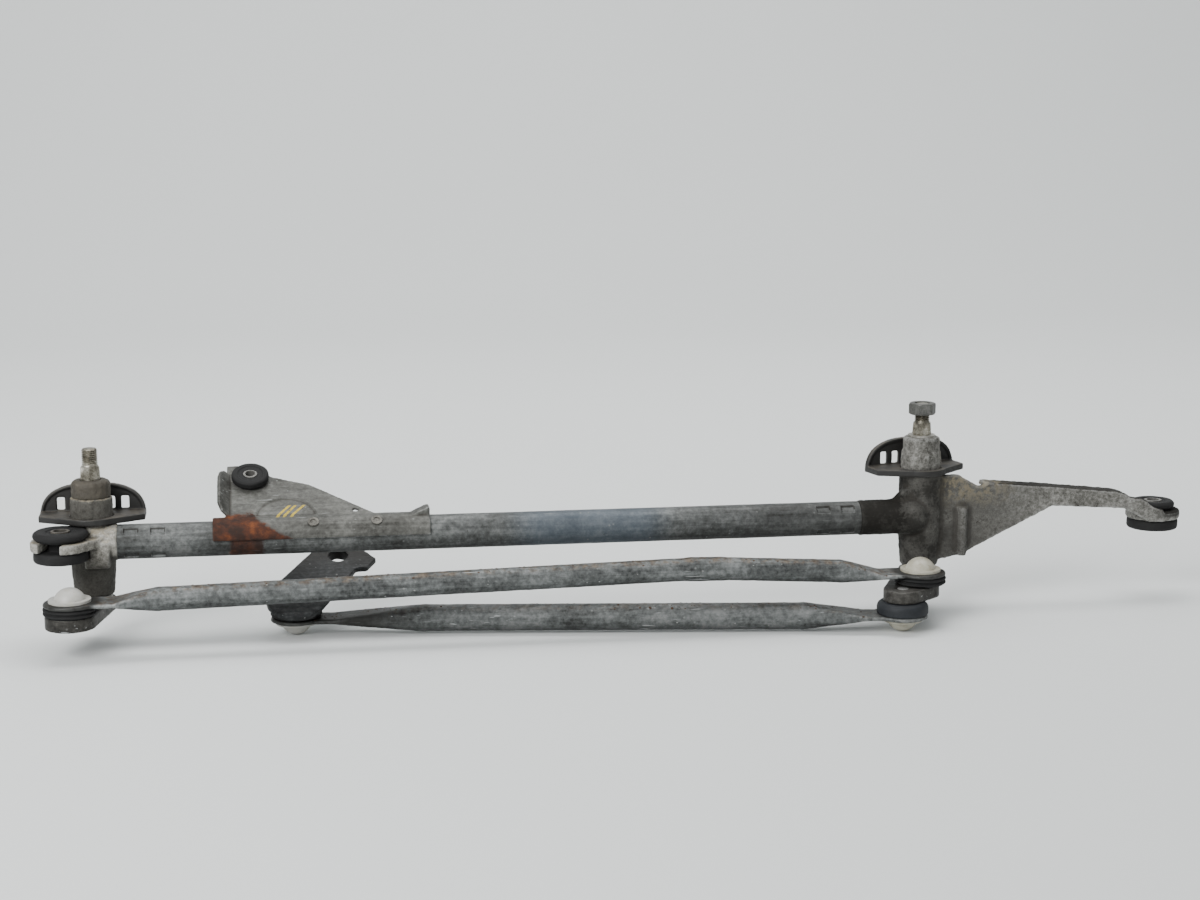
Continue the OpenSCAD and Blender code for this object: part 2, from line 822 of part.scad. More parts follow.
module right_lower_ball_stud() {
    placed(drive_ball, lever_z) hanging() ball_stud(drive_stud_h, lever_t);
}

module retaining_ring(pos, z) {
    color("gainsboro") placed(pos, z) ring(spindle_d + 6, spindle_d, ring_t);
}

module left_ring() { retaining_ring(left_pos, left_neck_top); }
module right_ring() { retaining_ring(right_pos, right_neck_top); }

module thrust_washer(pos) {
    color("gainsboro") placed(pos, lever_top) ring(lever_hub_d - 4, spindle_d, washer_t);
}

module left_washer() { thrust_washer(left_pos); }
module right_washer() { thrust_washer(right_pos); }

module right_nut() {
    color("silver") placed(right_pos, right_tip - nut_h + 0.5) difference() {
        intersection() {
            cylinder(d = nut_af / cos(30), h = nut_h, $fn = 6);
            rotate_extrude() polygon([
                [0, 0], [nut_af / 2, 0], [nut_af * 0.6, 1], [nut_af * 0.6, nut_h - 1],
                [nut_af / 2, nut_h], [0, nut_h]
            ]);
        }
        translate([0, 0, -eps]) cylinder(d = thread_d, h = nut_h + 2 * eps);
    }
}

// Links

// Socket on a link's end: dome up, ball centre at z = 0, mouth below
module socket() {
    mouth_d = 11.8;
    skirt_d = dome_r * 2 - 1.4;
    skirt_h = 3.5;
    color("ivory") difference() {
        union() {
            intersection() {
                sphere(r = dome_r);
                translate([0, 0, link_end_t / 2]) cylinder(r = dome_r + 1, h = dome_r);
            }
            translate([0, 0, link_end_t / 2]) cylinder(d = socket_flange_d, h = 1.6);
            translate([0, 0, -skirt_h]) cylinder(d = skirt_d, h = skirt_h + link_end_t);
        }
        sphere(d = ball_d + 2 * ball_gap);
        translate([0, 0, -skirt_h - eps]) cylinder(d = mouth_d, h = skirt_h);
    }
}

module tandem_left_socket() { placed(left_ball, up_ball_z) socket(); }
module tandem_right_socket() { placed(right_ball, up_ball_z) socket(); }
module drive_rocker_socket() { placed(drive_ball, low_ball_z) hanging() socket(); }
module drive_crank_socket() { placed(crank_ball, low_ball_z) hanging() socket(); }

// Dust boot under a socket, from the link's end plate down to the lever, round a neck hole
module boot(h, neck_hole) {
    lip = 1.6;
    edge = 1.6;
    inner_r = socket_hole_d / 2 + 1;
    color([0.13, 0.14, 0.15]) translate([0, 0, -link_end_t / 2]) hanging() rotate_extrude() polygon([
        [inner_r, 0], [boot_d / 2 - edge, 0], [boot_d / 2, edge], [boot_d / 2, h - edge],
        [boot_d / 2 - edge, h], [neck_hole / 2, h], [neck_hole / 2, h - lip], [inner_r, h - lip]
    ]);
}

module tandem_left_boot() { placed(left_ball, up_ball_z) boot(tandem_boot_h, shallow_hole); }
module tandem_right_boot() { placed(right_ball, up_ball_z) boot(tandem_boot_h, shallow_hole); }
module drive_rocker_boot() {
    placed(drive_ball, low_ball_z) hanging() boot(drive_boot_h, upright_hole);
}

// Draws a child in the crank's tilted frame, ball centre at its origin, Z along the stud
module in_crank_frame() {
    placed(crank_ball, low_ball_z) rotate([crank_tilt, 0, 0]) children();
}

// The boot under the crank is squeezed flat against its tilted plate
module drive_crank_boot() {
    intersection() {
        placed(crank_ball, low_ball_z) hanging() boot(drive_boot_h, tilted_hole);
        in_crank_frame() translate([-boot_d, -boot_d, crank_stud - gap - 2 * boot_d])
            cube(2 * boot_d);
    }
}

// Link between two sockets: flat eyes, a round tube with a bend, and pressed transitions.
// Drawn along X from the origin, on the middle plane of its eyes.
module link(length, d, rise, bend, flat, left_press, right_press) {
    rod_start = flat + left_press;
    rod_end = length - flat - right_press;
    knee_len = 24;
    knee_gap = 4;
    slice_t = 0.6;
    press_swell = 0.6;
    function axis_z(x) = x < bend ? rise * x / bend : rise * (length - x) / (length - bend);
    module eye(x, way) {
        translate([x, 0, -link_end_t / 2]) difference() {
            union() {
                cylinder(d = link_eye_d, h = link_end_t);
                translate([way > 0 ? 0 : -flat - 1, -link_neck_w / 2, 0])
                    cube([flat + 1, link_neck_w, link_end_t]);
            }
            hole([0, 0], socket_hole_d, link_end_t);
        }
    }
    module transition(x0, x1) {
        hull() {
            translate([x0 - slice_t / 2, -link_neck_w / 2, -link_end_t / 2])
                cube([slice_t, link_neck_w, link_end_t]);
            slice(x1);
        }
    }
    // Tube between two places on the axis, closed at its ends by the pressed stretches
    module rod(x0, x1) {
        span = [x1 - x0, 0, axis_z(x1) - axis_z(x0)];
        translate([x0, 0, axis_z(x0)]) rotate([0, 90 - atan2(span[2], span[0]), 0])
            difference() {
                cylinder(d = d, h = norm(span));
                translate([0, 0, 1]) cylinder(d = d - 2 * link_wall, h = norm(span) - 2);
            }
    }
    // Disc of a pressed stretch, a little wider than the tube that ends inside it
    module slice(x) {
        translate([x - slice_t / 2, 0, axis_z(x)]) rotate([0, 90, 0])
            cylinder(d = d + press_swell, h = slice_t, $fn = hull_fn);
    }
    module knee() {
        hull() {
            slice(bend - knee_len / 2);
            slice(bend + knee_len / 2);
        }
    }
    eye(0, 1);
    eye(length, -1);
    transition(flat, rod_start);
    transition(length - flat, rod_end);
    if (rise > 0) {
        rod(rod_start, bend - knee_gap);
        rod(bend + knee_gap, rod_end);
        knee();
    } else {
        rod(rod_start, rod_end);
    }
}

module tandem_rod() {
    color("lightslategray") placed(left_ball, up_ball_z)
        link(spindle_spacing, tandem_d, tandem_rise, spindle_spacing - tandem_bend,
            tandem_flat, tandem_press, tandem_press);
}

module drive_rod() {
    color("lightslategray") placed(crank_ball, low_ball_z)
        rotate(atan2(drive_span[1], drive_span[0]))
            link(norm(drive_span), drive_d, 0, norm(drive_span) / 2,
                drive_flat, drive_left_press, drive_right_press);
}

// Crank

// Crank: round ball end, squarer hub end with one corner cut off, and a boss round the hub's hole
module crank_arm() {
    away = crank_hub / crank_len;
    side = [away[1], -away[0]];
    half = crank_hub_d / 2 + crank_corner;
    color("dimgray") in_crank_frame() translate([0, 0, crank_stud]) difference() {
        union() {
            bar([0, 0], crank_end_d, crank_hub, crank_hub_d, crank_t);
            linear_extrude(crank_t) polygon([
                crank_hub - 15 * away + 6 * side, crank_hub - away + half * side,
                crank_hub + 10 * away + half * side, crank_hub + 16 * away + 5 * side
            ]);
            translate([crank_hub[0], crank_hub[1], -crank_boss_h])
                cylinder(d = crank_boss_d, h = crank_boss_h + crank_t / 2);
        }
        hole([0, 0], ball_neck_d, crank_t);
        translate([crank_hub[0], crank_hub[1], -crank_boss_h - eps])
            cylinder(d = hub_bore, h = crank_boss_h + crank_t + 2 * eps);
    }
}

module crank_ball_stud() {
    in_crank_frame() translate([0, 0, crank_stud]) hanging() ball_stud(crank_stud, crank_t);
}

frame_tube();
left_housing();
right_housing();
motor_bracket();
bracket_rivets();
left_upper_bush();
left_lower_bush();
right_upper_bush();
right_lower_bush();
left_dust_cap();
left_shield();
right_shield();
left_grommet();
left_sleeve();
right_grommet();
right_sleeve();
bracket_grommet();
bracket_sleeve();
left_spindle();
left_lever();
left_ball_stud();
left_ring();
left_washer();
right_spindle();
right_lever();
right_upper_ball_stud();
right_lower_ball_stud();
right_nut();
right_ring();
right_washer();
tandem_rod();
tandem_left_socket();
tandem_right_socket();
tandem_left_boot();
tandem_right_boot();
drive_rod();
drive_crank_socket();
drive_rocker_socket();
drive_crank_boot();
drive_rocker_boot();
crank_arm();
crank_ball_stud();
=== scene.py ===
"""Looks of a used windscreen wiper linkage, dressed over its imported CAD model."""

import math

import bmesh
import bpy
import numpy as np
from bpy.props import FloatProperty, FloatVectorProperty, IntProperty, PointerProperty
from mathutils import Matrix, Vector, noise


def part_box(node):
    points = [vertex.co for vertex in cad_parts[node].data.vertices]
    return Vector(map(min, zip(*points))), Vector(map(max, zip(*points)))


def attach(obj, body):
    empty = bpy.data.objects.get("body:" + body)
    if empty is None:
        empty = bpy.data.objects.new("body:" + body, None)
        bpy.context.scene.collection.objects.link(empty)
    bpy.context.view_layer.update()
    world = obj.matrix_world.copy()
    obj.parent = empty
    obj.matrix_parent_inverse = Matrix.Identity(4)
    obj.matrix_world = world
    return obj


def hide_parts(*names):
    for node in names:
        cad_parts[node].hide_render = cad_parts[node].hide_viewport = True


bl_info = {
    "name": "Wiper linkage",
    "version": (1, 0, 0),
    "blender": (4, 5, 0),
    "location": "View3D > Sidebar > Linkage",
    "description": "Builds the weathered surfaces of a windscreen wiper linkage",
    "category": "Object",
}

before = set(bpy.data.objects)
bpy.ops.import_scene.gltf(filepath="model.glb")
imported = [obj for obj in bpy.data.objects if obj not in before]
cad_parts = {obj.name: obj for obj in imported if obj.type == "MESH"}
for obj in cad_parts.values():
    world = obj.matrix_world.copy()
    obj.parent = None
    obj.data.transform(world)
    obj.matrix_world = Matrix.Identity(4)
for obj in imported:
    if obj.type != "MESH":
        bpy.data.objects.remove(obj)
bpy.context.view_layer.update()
MM = 0.001

CAMERA_PLACE = (-0.23411, -1.37596, 0.36996)
CAMERA_DIP = 10.33  # degrees below the horizon
CAMERA_TURN = -8.73  # degrees about the vertical

CRUMB_PATCHES = 45.0  # noise scale of the places where crumbs gather
CRUMB_FORM = (1.0, 0.7, 0.3)
WEAR_DEPTH = 0.5 * MM  # an edge that stands out this far counts as rubbed down to the metal

DULL_METAL_SPECULAR = 0.28
RUBBER_SPECULAR = 0.25
OXIDE = (0.27, 0.28, 0.27)
PITS = (0.035, 0.034, 0.03)
SCRATCHES = (0.42, 0.435, 0.43)
# Black of grime at the link joints, also painted shade on the frame tube's right end.
SOOT_AND_SHADE = (0.016, 0.015, 0.013)
# Pale zinc of rubbed edges, also a painted highlight on the lower edges of the tube's crimps.
BARE_ZINC_AND_HIGHLIGHT = (0.34, 0.35, 0.34)
# Painted shade in the corners of zinc parts.
ZINC_CORNER_SHADE = (0.03, 0.027, 0.022)
TOP_RUST = ((0.35, (0.04, 0.024, 0.014)), (0.6, (0.13, 0.095, 0.062)))
DEEP_RUST = (
    (0.42, (0.018, 0.005, 0.0018)),
    (0.56, (0.050, 0.0125, 0.0033)),
    (0.72, (0.145, 0.038, 0.0068)),
)
CAST_GRIME = (0.015, 0.0138, 0.0117)
BARE_CAST = (0.30, 0.30, 0.285)
# Painted shade in the corners of the castings.
CAST_CORNER_SHADE = (0.028, 0.025, 0.021)
SOIL = (0.09, 0.075, 0.055)


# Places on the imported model


def middle(node):
    """Centre of a CAD node's box."""
    low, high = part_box(node)
    return (low + high) / 2


def upright(node, z=0.0):
    """Placement on the vertical axis of a CAD node, at height z."""
    centre = middle(node)
    return Matrix.Translation((centre.x, centre.y, z))


def tilted(node, degrees):
    """Placement on the centre of a CAD node, turned about X."""
    return Matrix.Translation(middle(node)) @ Matrix.Rotation(math.radians(degrees), 4, "X")


# Meshes


def piece(name, body, mesh, material, stands_for=(), sharp=35):
    """Adds a finished mesh as an object that rides on a body."""
    mesh.materials.clear()
    mesh.materials.append(material)
    mesh.shade_smooth()
    mesh.set_sharp_from_angle(angle=math.radians(sharp))
    obj = bpy.data.objects.new(name, mesh)
    bpy.context.scene.collection.objects.link(obj)
    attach(obj, body)
    if stands_for:
        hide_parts(*stands_for)
    return obj


def mesh_of(name, verts, faces):
    """Mesh from points and faces, its normals turned outwards."""
    mesh = bpy.data.meshes.new(name)
    mesh.from_pydata([tuple(v) for v in verts], [], faces)
    bm = bmesh.new()
    bm.from_mesh(mesh)
    bmesh.ops.remove_doubles(bm, verts=bm.verts, dist=1e-6)
    bmesh.ops.recalc_face_normals(bm, faces=bm.faces)
    bm.to_mesh(mesh)
    bm.free()
    return mesh


def fillet(points, radius, steps=4):
    """Rounds the corners of a closed profile of (r, z) points."""
    out = []
    count = len(points)
    for i, here in enumerate(points):
        corner = Vector(here)
        back = Vector(points[i - 1]) - corner
        ahead = Vector(points[(i + 1) % count]) - corner
        cut = min(radius, 0.45 * back.length, 0.45 * ahead.length)
        start = corner + back.normalized() * cut
        end = corner + ahead.normalized() * cut
        for k in range(steps + 1):
            t = k / steps
            out.append(start * (1 - t) ** 2 + corner * (2 * t * (1 - t)) + end * t * t)
    return out


def turned(profile, place, segments=72, closed=True, reach=None):
    """Turned body of (r, z) points; reach(r, z, angle) may move a point's radius."""
    verts, faces = [], []
    rows = len(profile)
    for r, z in profile:
        for k in range(segments):
            angle = 2 * math.pi * k / segments
            radius = reach(r, z, angle) if reach else r
            verts.append(place @ Vector((radius * math.cos(angle), radius * math.sin(angle), z)))
    for i in range(rows if closed else rows - 1):
        for k in range(segments):
            a = i * segments + k
            b = i * segments + (k + 1) % segments
            c = (i + 1) % rows * segments
            faces.append((a, b, c + (k + 1) % segments, c + k))
    return verts, faces


def outer_shell(bm):
    """Deletes the closed hollows inside a mesh, so that only its largest shell is left."""
    seen, shells = set(), []
    for start in bm.verts:
        if start in seen:
            continue
        stack, shell = [start], []
        seen.add(start)
        while stack:
            v = stack.pop()
            shell.append(v)
            for e in v.link_edges:
                other = e.other_vert(v)
                if other not in seen:
                    seen.add(other)
                    stack.append(other)
        shells.append(shell)
    shells.sort(key=lambda s: max(v.co.x for v in s) - min(v.co.x for v in s))
    inner = [v for shell in shells[:-1] for v in shell]
    bmesh.ops.delete(bm, geom=inner, context="VERTS")


def softened(name, node, voxel, rounds, grain, grain_size, hollow=False):
    """Copy of a CAD node with rounded edges and a rough skin, in millimetres.

    A point attribute is above zero on outer edges, which the shaders show as rubbed metal, and
    below zero in corners, which get painted shade.
    """
    bm = bmesh.new()
    bm.from_mesh(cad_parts[node].data)
    bmesh.ops.remove_doubles(bm, verts=bm.verts, dist=1e-6)
    if hollow:
        outer_shell(bm)
    rough = bpy.data.meshes.new(name + "_rough")
    bm.to_mesh(rough)
    bm.free()
    obj = bpy.data.objects.new(name + "_rough", rough)
    bpy.context.scene.collection.objects.link(obj)
    skin = obj.modifiers.new("Skin", "REMESH")
    skin.mode = "VOXEL"
    skin.voxel_size = voxel * MM
    evaluated = obj.evaluated_get(bpy.context.evaluated_depsgraph_get())
    mesh = bpy.data.meshes.new_from_object(evaluated)
    mesh.name = name
    bpy.data.objects.remove(obj)
    bpy.data.meshes.remove(rough)

    count = len(mesh.vertices)
    co = np.zeros(count * 3)
    mesh.vertices.foreach_get("co", co)
    co = co.reshape(-1, 3)
    ends = np.zeros(len(mesh.edges) * 2, np.int64)
    mesh.edges.foreach_get("vertices", ends)
    a, b = ends.reshape(-1, 2).T
    valence = np.bincount(a, minlength=count) + np.bincount(b, minlength=count)

    def smooth(points, times):
        for _ in range(times):
            total = np.empty_like(points)
            for axis in range(3):
                total[:, axis] = np.bincount(a, points[b, axis], count) + np.bincount(
                    b, points[a, axis], count
                )
            points = 0.4 * points + 0.6 * total / valence[:, None]
        return points

    normal = np.zeros(count * 3)
    co = smooth(co, rounds)
    mesh.vertices.foreach_set("co", co.ravel())
    mesh.update()
    mesh.vertices.foreach_get("normal", normal)
    normal = normal.reshape(-1, 3)
    wear = ((co - smooth(co, 14)) * normal).sum(1) / WEAR_DEPTH
    scale = 1 / (grain_size * MM)
    lift = np.array([noise.fractal(Vector(p) * scale, 0.7, 2.1, 3) for p in co])
    co = co + normal * (grain * MM * lift)[:, None]
    mesh.vertices.foreach_set("co", co.ravel())
    mesh.update()
    layer = mesh.attributes.new("wear", "FLOAT", "POINT")
    layer.data.foreach_set("value", np.clip(wear, -1, 1).astype(np.float32))
    return mesh


def skinned(name, body, node, material, voxel, rounds, grain, grain_size):
    """Softened copy of a CAD node, as a piece in its place."""
    mesh = softened(name, node, voxel, rounds, grain, grain_size)
    piece(name, body, mesh, material, [node], sharp=60)


# Geometry Nodes


class Tree:
    """Geometry node tree with named inputs, run on a host mesh and made a plain mesh."""

    def __init__(self, name):
        self.tree = bpy.data.node_groups.new(name, "GeometryNodeTree")
        self.face = self.tree.interface
        self.face.new_socket("Geometry", in_out="INPUT", socket_type="NodeSocketGeometry")
        self.face.new_socket("Geometry", in_out="OUTPUT", socket_type="NodeSocketGeometry")
        self.values = {}

    def size(self, name, value, kind="NodeSocketFloat"):
        """Adds a named input and its value."""
        self.face.new_socket(name, in_out="INPUT", socket_type=kind)
        self.values[name] = value

    def open(self):
        """Sockets of the named inputs."""
        return self.tree.nodes.new("NodeGroupInput").outputs

    def add(self, kind, settings=None, inputs=None):
        """Adds a node, its settings first and then the values or links of its sockets."""
        node = self.tree.nodes.new(kind)
        for key, value in (settings or {}).items():
            setattr(node, key, value)
        for key, value in (inputs or {}).items():
            socket = node.inputs[key]
            if isinstance(value, bpy.types.NodeSocket):
                self.tree.links.new(value, socket)
            else:
                socket.default_value = value
        return node

    def close(self, instances, material):
        """Ends the tree: instances made real, material set."""
        real = self.add("GeometryNodeRealizeInstances", None, {"Geometry": instances})
        skin = self.add(
            "GeometryNodeSetMaterial", None, {"Geometry": real.outputs[0], "Material": material}
        )
        end = self.tree.nodes.new("NodeGroupOutput")
        self.tree.links.new(skin.outputs[0], end.inputs[0])

    def run(self, name, host):
        """Plain mesh of the tree on a host mesh."""
        obj = bpy.data.objects.new(name + "_host", host)
        bpy.context.scene.collection.objects.link(obj)
        modifier = obj.modifiers.new(name, "NODES")
        modifier.node_group = self.tree
        for item in self.face.items_tree:
            if item.in_out == "INPUT" and item.name in self.values:
                modifier[item.identifier] = self.values[item.name]
        obj.update_tag()
        evaluated = obj.evaluated_get(bpy.context.evaluated_depsgraph_get())
        mesh = bpy.data.meshes.new_from_object(evaluated)
        mesh.name = name
        bpy.data.objects.remove(obj)
        if not mesh.polygons:
            raise RuntimeError(f"the tree of {name} made nothing")
        return mesh


def scabs(name, body, host, material, density, size, seed, facing):
    """Scatters flat crumbs of rust or oxide over the faces of a host mesh that look up enough.

    Density is in crumbs per square metre, size in millimetres.
    """
    tree = Tree(name)
    tree.size("Density", density)
    tree.size("Size", size * MM)
    tree.size("Facing", facing)
    tree.size("Seed", seed, "NodeSocketInt")
    tree.size("Material", material, "NodeSocketMaterial")
    inputs = tree.open()
    normal = tree.add("GeometryNodeInputNormal")
    parts = tree.add("ShaderNodeSeparateXYZ", None, {"Vector": normal.outputs[0]})
    looks_up = tree.add(
        "FunctionNodeCompare", {"data_type": "FLOAT", "operation": "GREATER_THAN"},
        {0: parts.outputs["Z"], 1: inputs["Facing"]},
    )
    place = tree.add("GeometryNodeInputPosition")
    patches = tree.add(
        "ShaderNodeTexNoise", None,
        {"Vector": place.outputs[0], "Scale": CRUMB_PATCHES, "Detail": 3.0},
    )
    limits = {"From Min": 0.48, "From Max": 0.62, "To Max": inputs["Density"]}
    dense = tree.add("ShaderNodeMapRange", None, {"Value": patches.outputs[0], **limits})
    dots = tree.add(
        "GeometryNodeDistributePointsOnFaces", {"distribute_method": "RANDOM"},
        {"Mesh": inputs["Geometry"], "Selection": looks_up.outputs[0],
         "Density": dense.outputs[0], "Seed": inputs["Seed"]},
    )
    crumb = tree.add(
        "GeometryNodeMeshIcoSphere", None, {"Radius": inputs["Size"], "Subdivisions": 2}
    )
    flat = tree.add(
        "GeometryNodeTransform", None, {"Geometry": crumb.outputs[0], "Scale": CRUMB_FORM}
    )
    varied = tree.add(
        "FunctionNodeRandomValue", {"data_type": "FLOAT"},
        {"Min": 0.3, "Max": 1.0, "Seed": inputs["Seed"]},
    )
    placed = tree.add(
        "GeometryNodeInstanceOnPoints", None,
        {"Points": dots.outputs["Points"], "Instance": flat.outputs[0],
         "Rotation": dots.outputs["Rotation"], "Scale": varied.outputs["Value"]},
    )
    tree.close(placed.outputs[0], inputs["Material"])
    piece(name, body, tree.run(name, host.copy()), material)


# Shaders


class Value:
    """Socket of a shader node; operators add Math nodes."""

    def __init__(self, paint, socket):
        self.paint = paint
        self.socket = socket

    def math(self, operation, other, swap=False):
        pair = (other, self) if swap else (self, other)
        return self.paint.add("ShaderNodeMath", {"operation": operation}, {0: pair[0], 1: pair[1]})

    def __add__(self, other):
        return self.math("ADD", other)

    def __radd__(self, other):
        return self.math("ADD", other, True)

    def __sub__(self, other):
        return self.math("SUBTRACT", other)

    def __rsub__(self, other):
        return self.math("SUBTRACT", other, True)

    def __mul__(self, other):
        return self.math("MULTIPLY", other)

    def __rmul__(self, other):
        return self.math("MULTIPLY", other, True)

    def step(self, low, high):
        """Smooth step from 0 at low to 1 at high."""
        return self.paint.add(
            "ShaderNodeMapRange",
            {"interpolation_type": "SMOOTHSTEP"},
            {"Value": self, "From Min": low, "From Max": high},
        )


class Paint:
    """Procedural material with one surface shader."""

    def __init__(self, name, metallic=0.0, roughness=0.5):
        self.material = bpy.data.materials.new(name)
        self.material.use_nodes = True
        self.nodes = self.material.node_tree.nodes
        self.links = self.material.node_tree.links
        self.nodes.clear()
        self.surface = self.nodes.new("ShaderNodeBsdfPrincipled")
        end = self.nodes.new("ShaderNodeOutputMaterial")
        self.links.new(self.surface.outputs["BSDF"], end.inputs["Surface"])
        self.surface.inputs["Metallic"].default_value = metallic
        self.surface.inputs["Roughness"].default_value = roughness
        self.place = self.add("ShaderNodeTexCoord", out="Object")
        parts = self.add("ShaderNodeSeparateXYZ", None, {"Vector": self.place}).socket.node
        self.x, self.y, self.z = (Value(self, s) for s in parts.outputs)
        side = self.add("ShaderNodeNewGeometry", out="Normal")
        turn = self.add("ShaderNodeSeparateXYZ", None, {"Vector": side}).socket.node
        self.up = Value(self, turn.outputs["Z"])

    def add(self, kind, settings=None, inputs=None, out=0):
        """Adds a node: its settings first, then the values or links of its sockets."""
        node = self.nodes.new(kind)
        for key, value in (settings or {}).items():
            if key == "stops":
                ramp = node.color_ramp
                while len(ramp.elements) < len(value):
                    ramp.elements.new(0.5)
                for element, (at, colour) in zip(ramp.elements, value):
                    element.position = at
                    element.color = (*colour, 1)
            else:
                setattr(node, key, value)
        for key, value in (inputs or {}).items():
            if isinstance(value, Value):
                self.links.new(value.socket, node.inputs[key])
            else:
                node.inputs[key].default_value = value
        return Value(self, node.outputs[out])

    def set(self, **sockets):
        """Links values to the surface shader, or sets its plain numbers."""
        for name, value in sockets.items():
            socket = self.surface.inputs[name.replace("_", " ").title()]
            if isinstance(value, Value):
                self.links.new(value.socket, socket)
            else:
                socket.default_value = value

    def stretch(self, sx, sy, sz, shift=0.0):
        """Object coordinates with a scale of their own along each axis."""
        return self.add(
            "ShaderNodeMapping",
            None,
            {"Vector": self.place, "Scale": (sx, sy, sz), "Location": (shift, shift, shift)},
        )

    def cloud(self, size, detail=4.0, rough=0.6, vector=None):
        """Noise whose features are about size millimetres across."""
        return self.add(
            "ShaderNodeTexNoise",
            None,
            {
                "Vector": vector or self.place,
                "Scale": 1 / (size * MM),
                "Detail": detail,
                "Roughness": rough,
            },
        )

    def specks(self, size, share, vector=None):
        """Mask of round specks, size millimetres apart, of a share of their cells."""
        cell = self.add(
            "ShaderNodeTexVoronoi",
            {"feature": "F1"},
            {"Vector": vector or self.place, "Scale": 1 / (size * MM)},
            out="Distance",
        )
        return 1 - cell.step(0.5 * share, share)

    def tint(self, mask, under, over):
        """Colour over where mask is 1, colour under where it is 0."""
        return self.add(
            "ShaderNodeMix",
            {"data_type": "RGBA", "clamp_factor": True},
            {0: mask, 6: under if isinstance(under, Value) else (*under, 1),
             7: over if isinstance(over, Value) else (*over, 1)},
            out=2,
        )

    def ramp(self, value, *stops):
        """Colour ramp of (place, colour) stops."""
        return self.add("ShaderNodeValToRGB", {"stops": stops}, {"Fac": value})

    def edges(self):
        """Edge attribute of a softened piece or of the frame tube: rubbed edges and painted
        highlight above zero, painted shade below zero.
        """
        return self.add("ShaderNodeAttribute", {"attribute_name": "wear"}, out="Fac")

    def bump(self, height, depth):
        """Relief of depth millimetres."""
        relief = self.add(
            "ShaderNodeBump", None, {"Height": height, "Distance": depth * MM, "Strength": 1.0}
        )
        self.links.new(relief.socket, self.surface.inputs["Normal"])


def zinc(
    name, base, dark, light, metallic=0.45, blue=None, rust=None, top_rust=0.0, grime_and_shade=None, mark=None
):
    """Weathered zinc: clouds of grey, painted shade under faces that look down and in corners,
    white oxide, scratches and rust.

    blue is (from x, to x, colour); rust, mark[0] and the darkening mask of grime and painted shade
    are functions that return a mask.
    """
    paint = Paint(name, metallic)
    paint.surface.inputs["Specular IOR Level"].default_value = DULL_METAL_SPECULAR
    broad = paint.cloud(34, 5)
    fine = paint.cloud(3.2, 6, 0.7)
    drawn = paint.cloud(2.5, 4, 0.6, paint.stretch(0.06, 1, 1))
    mixed = broad * 0.42 + fine * 0.36 + drawn * 0.22
    body = paint.ramp(mixed, (0.40, dark), (0.5, base), (0.61, light))
    # Painted shade: faces that look down get a darker colour, and a rougher finish.
    below = 1 - (paint.up + 0.35 * fine).step(-0.75, 0.25)
    colour = paint.tint(below * 0.35, body, tuple(0.45 * c for c in dark))
    if blue:
        low, high, shade = blue
        patch = paint.x.step(low, low + 0.03) * (1 - paint.x.step(high - 0.03, high))
        colour = paint.tint(patch * (0.35 + 0.3 * broad), colour, shade)
    bloom = paint.specks(5.5, 0.16) * paint.cloud(21, 3).step(0.5, 0.62)
    colour = paint.tint(bloom * 0.5, colour, OXIDE)
    pits = paint.specks(3.1, 0.17, paint.stretch(1, 1, 1, 0.31))
    pits = pits * paint.cloud(15, 4).step(0.5, 0.66)
    colour = paint.tint(pits * 0.75, colour, PITS)
    if top_rust:
        crest = paint.up.step(0.55, 0.9) * paint.cloud(6, 5, 0.7).step(0.45, 0.6)
        colour = paint.tint(crest * top_rust, colour, paint.ramp(fine, *TOP_RUST))
    scratch = paint.cloud(1.3, 2, 0.5, paint.stretch(0.05, 0.8, 0.8, 0.7)).step(0.66, 0.73)
    scratch = scratch * paint.cloud(40, 2).step(0.5, 0.58)
    colour = paint.tint(scratch * 0.6, colour, SCRATCHES)
    roughness = 0.42 + 0.22 * broad + 0.2 * below + 0.2 * bloom - 0.18 * scratch
    wear = paint.edges()
    # Rubbed metal on outer edges; on the frame tube's crimps this tint is a painted highlight on
    # their lower edges.
    bare_and_highlight = wear.step(0.45, 0.9) * fine.step(0.3, 0.6) * 0.6
    if grime_and_shade:
        # Darkening mask: grime at the link joints, darkening round the crank hub, and painted shade
        # towards the frame tube's right end.
        black = grime_and_shade(paint) * (0.75 + 0.3 * fine)
        colour = paint.tint(black, colour, SOOT_AND_SHADE)
        bare_and_highlight = bare_and_highlight * (1 - black)
    colour = paint.tint(bare_and_highlight, colour, BARE_ZINC_AND_HIGHLIGHT)
    # Painted shade in corners and creases, and along the upper edges of the tube's crimps.
    colour = paint.tint((wear * -1.0).step(0.05, 0.35) * 0.7, colour, ZINC_CORNER_SHADE)
    if rust:
        mask = rust(paint, fine, broad)
        stain = paint.ramp(paint.cloud(9, 6, 0.65), *DEEP_RUST)
        colour = paint.tint(mask, colour, stain)
        roughness = roughness + 0.3 * mask
        paint.set(metallic=metallic * (1 - mask))
    if mark:
        colour = paint.tint(mark[0](paint, fine) * 0.85, colour, mark[1])
    paint.set(base_color=colour, roughness=roughness)
    paint.bump(fine * 0.6 + drawn * 0.3 + bloom * 0.5 - pits * 0.6, 0.16)
    return paint.material


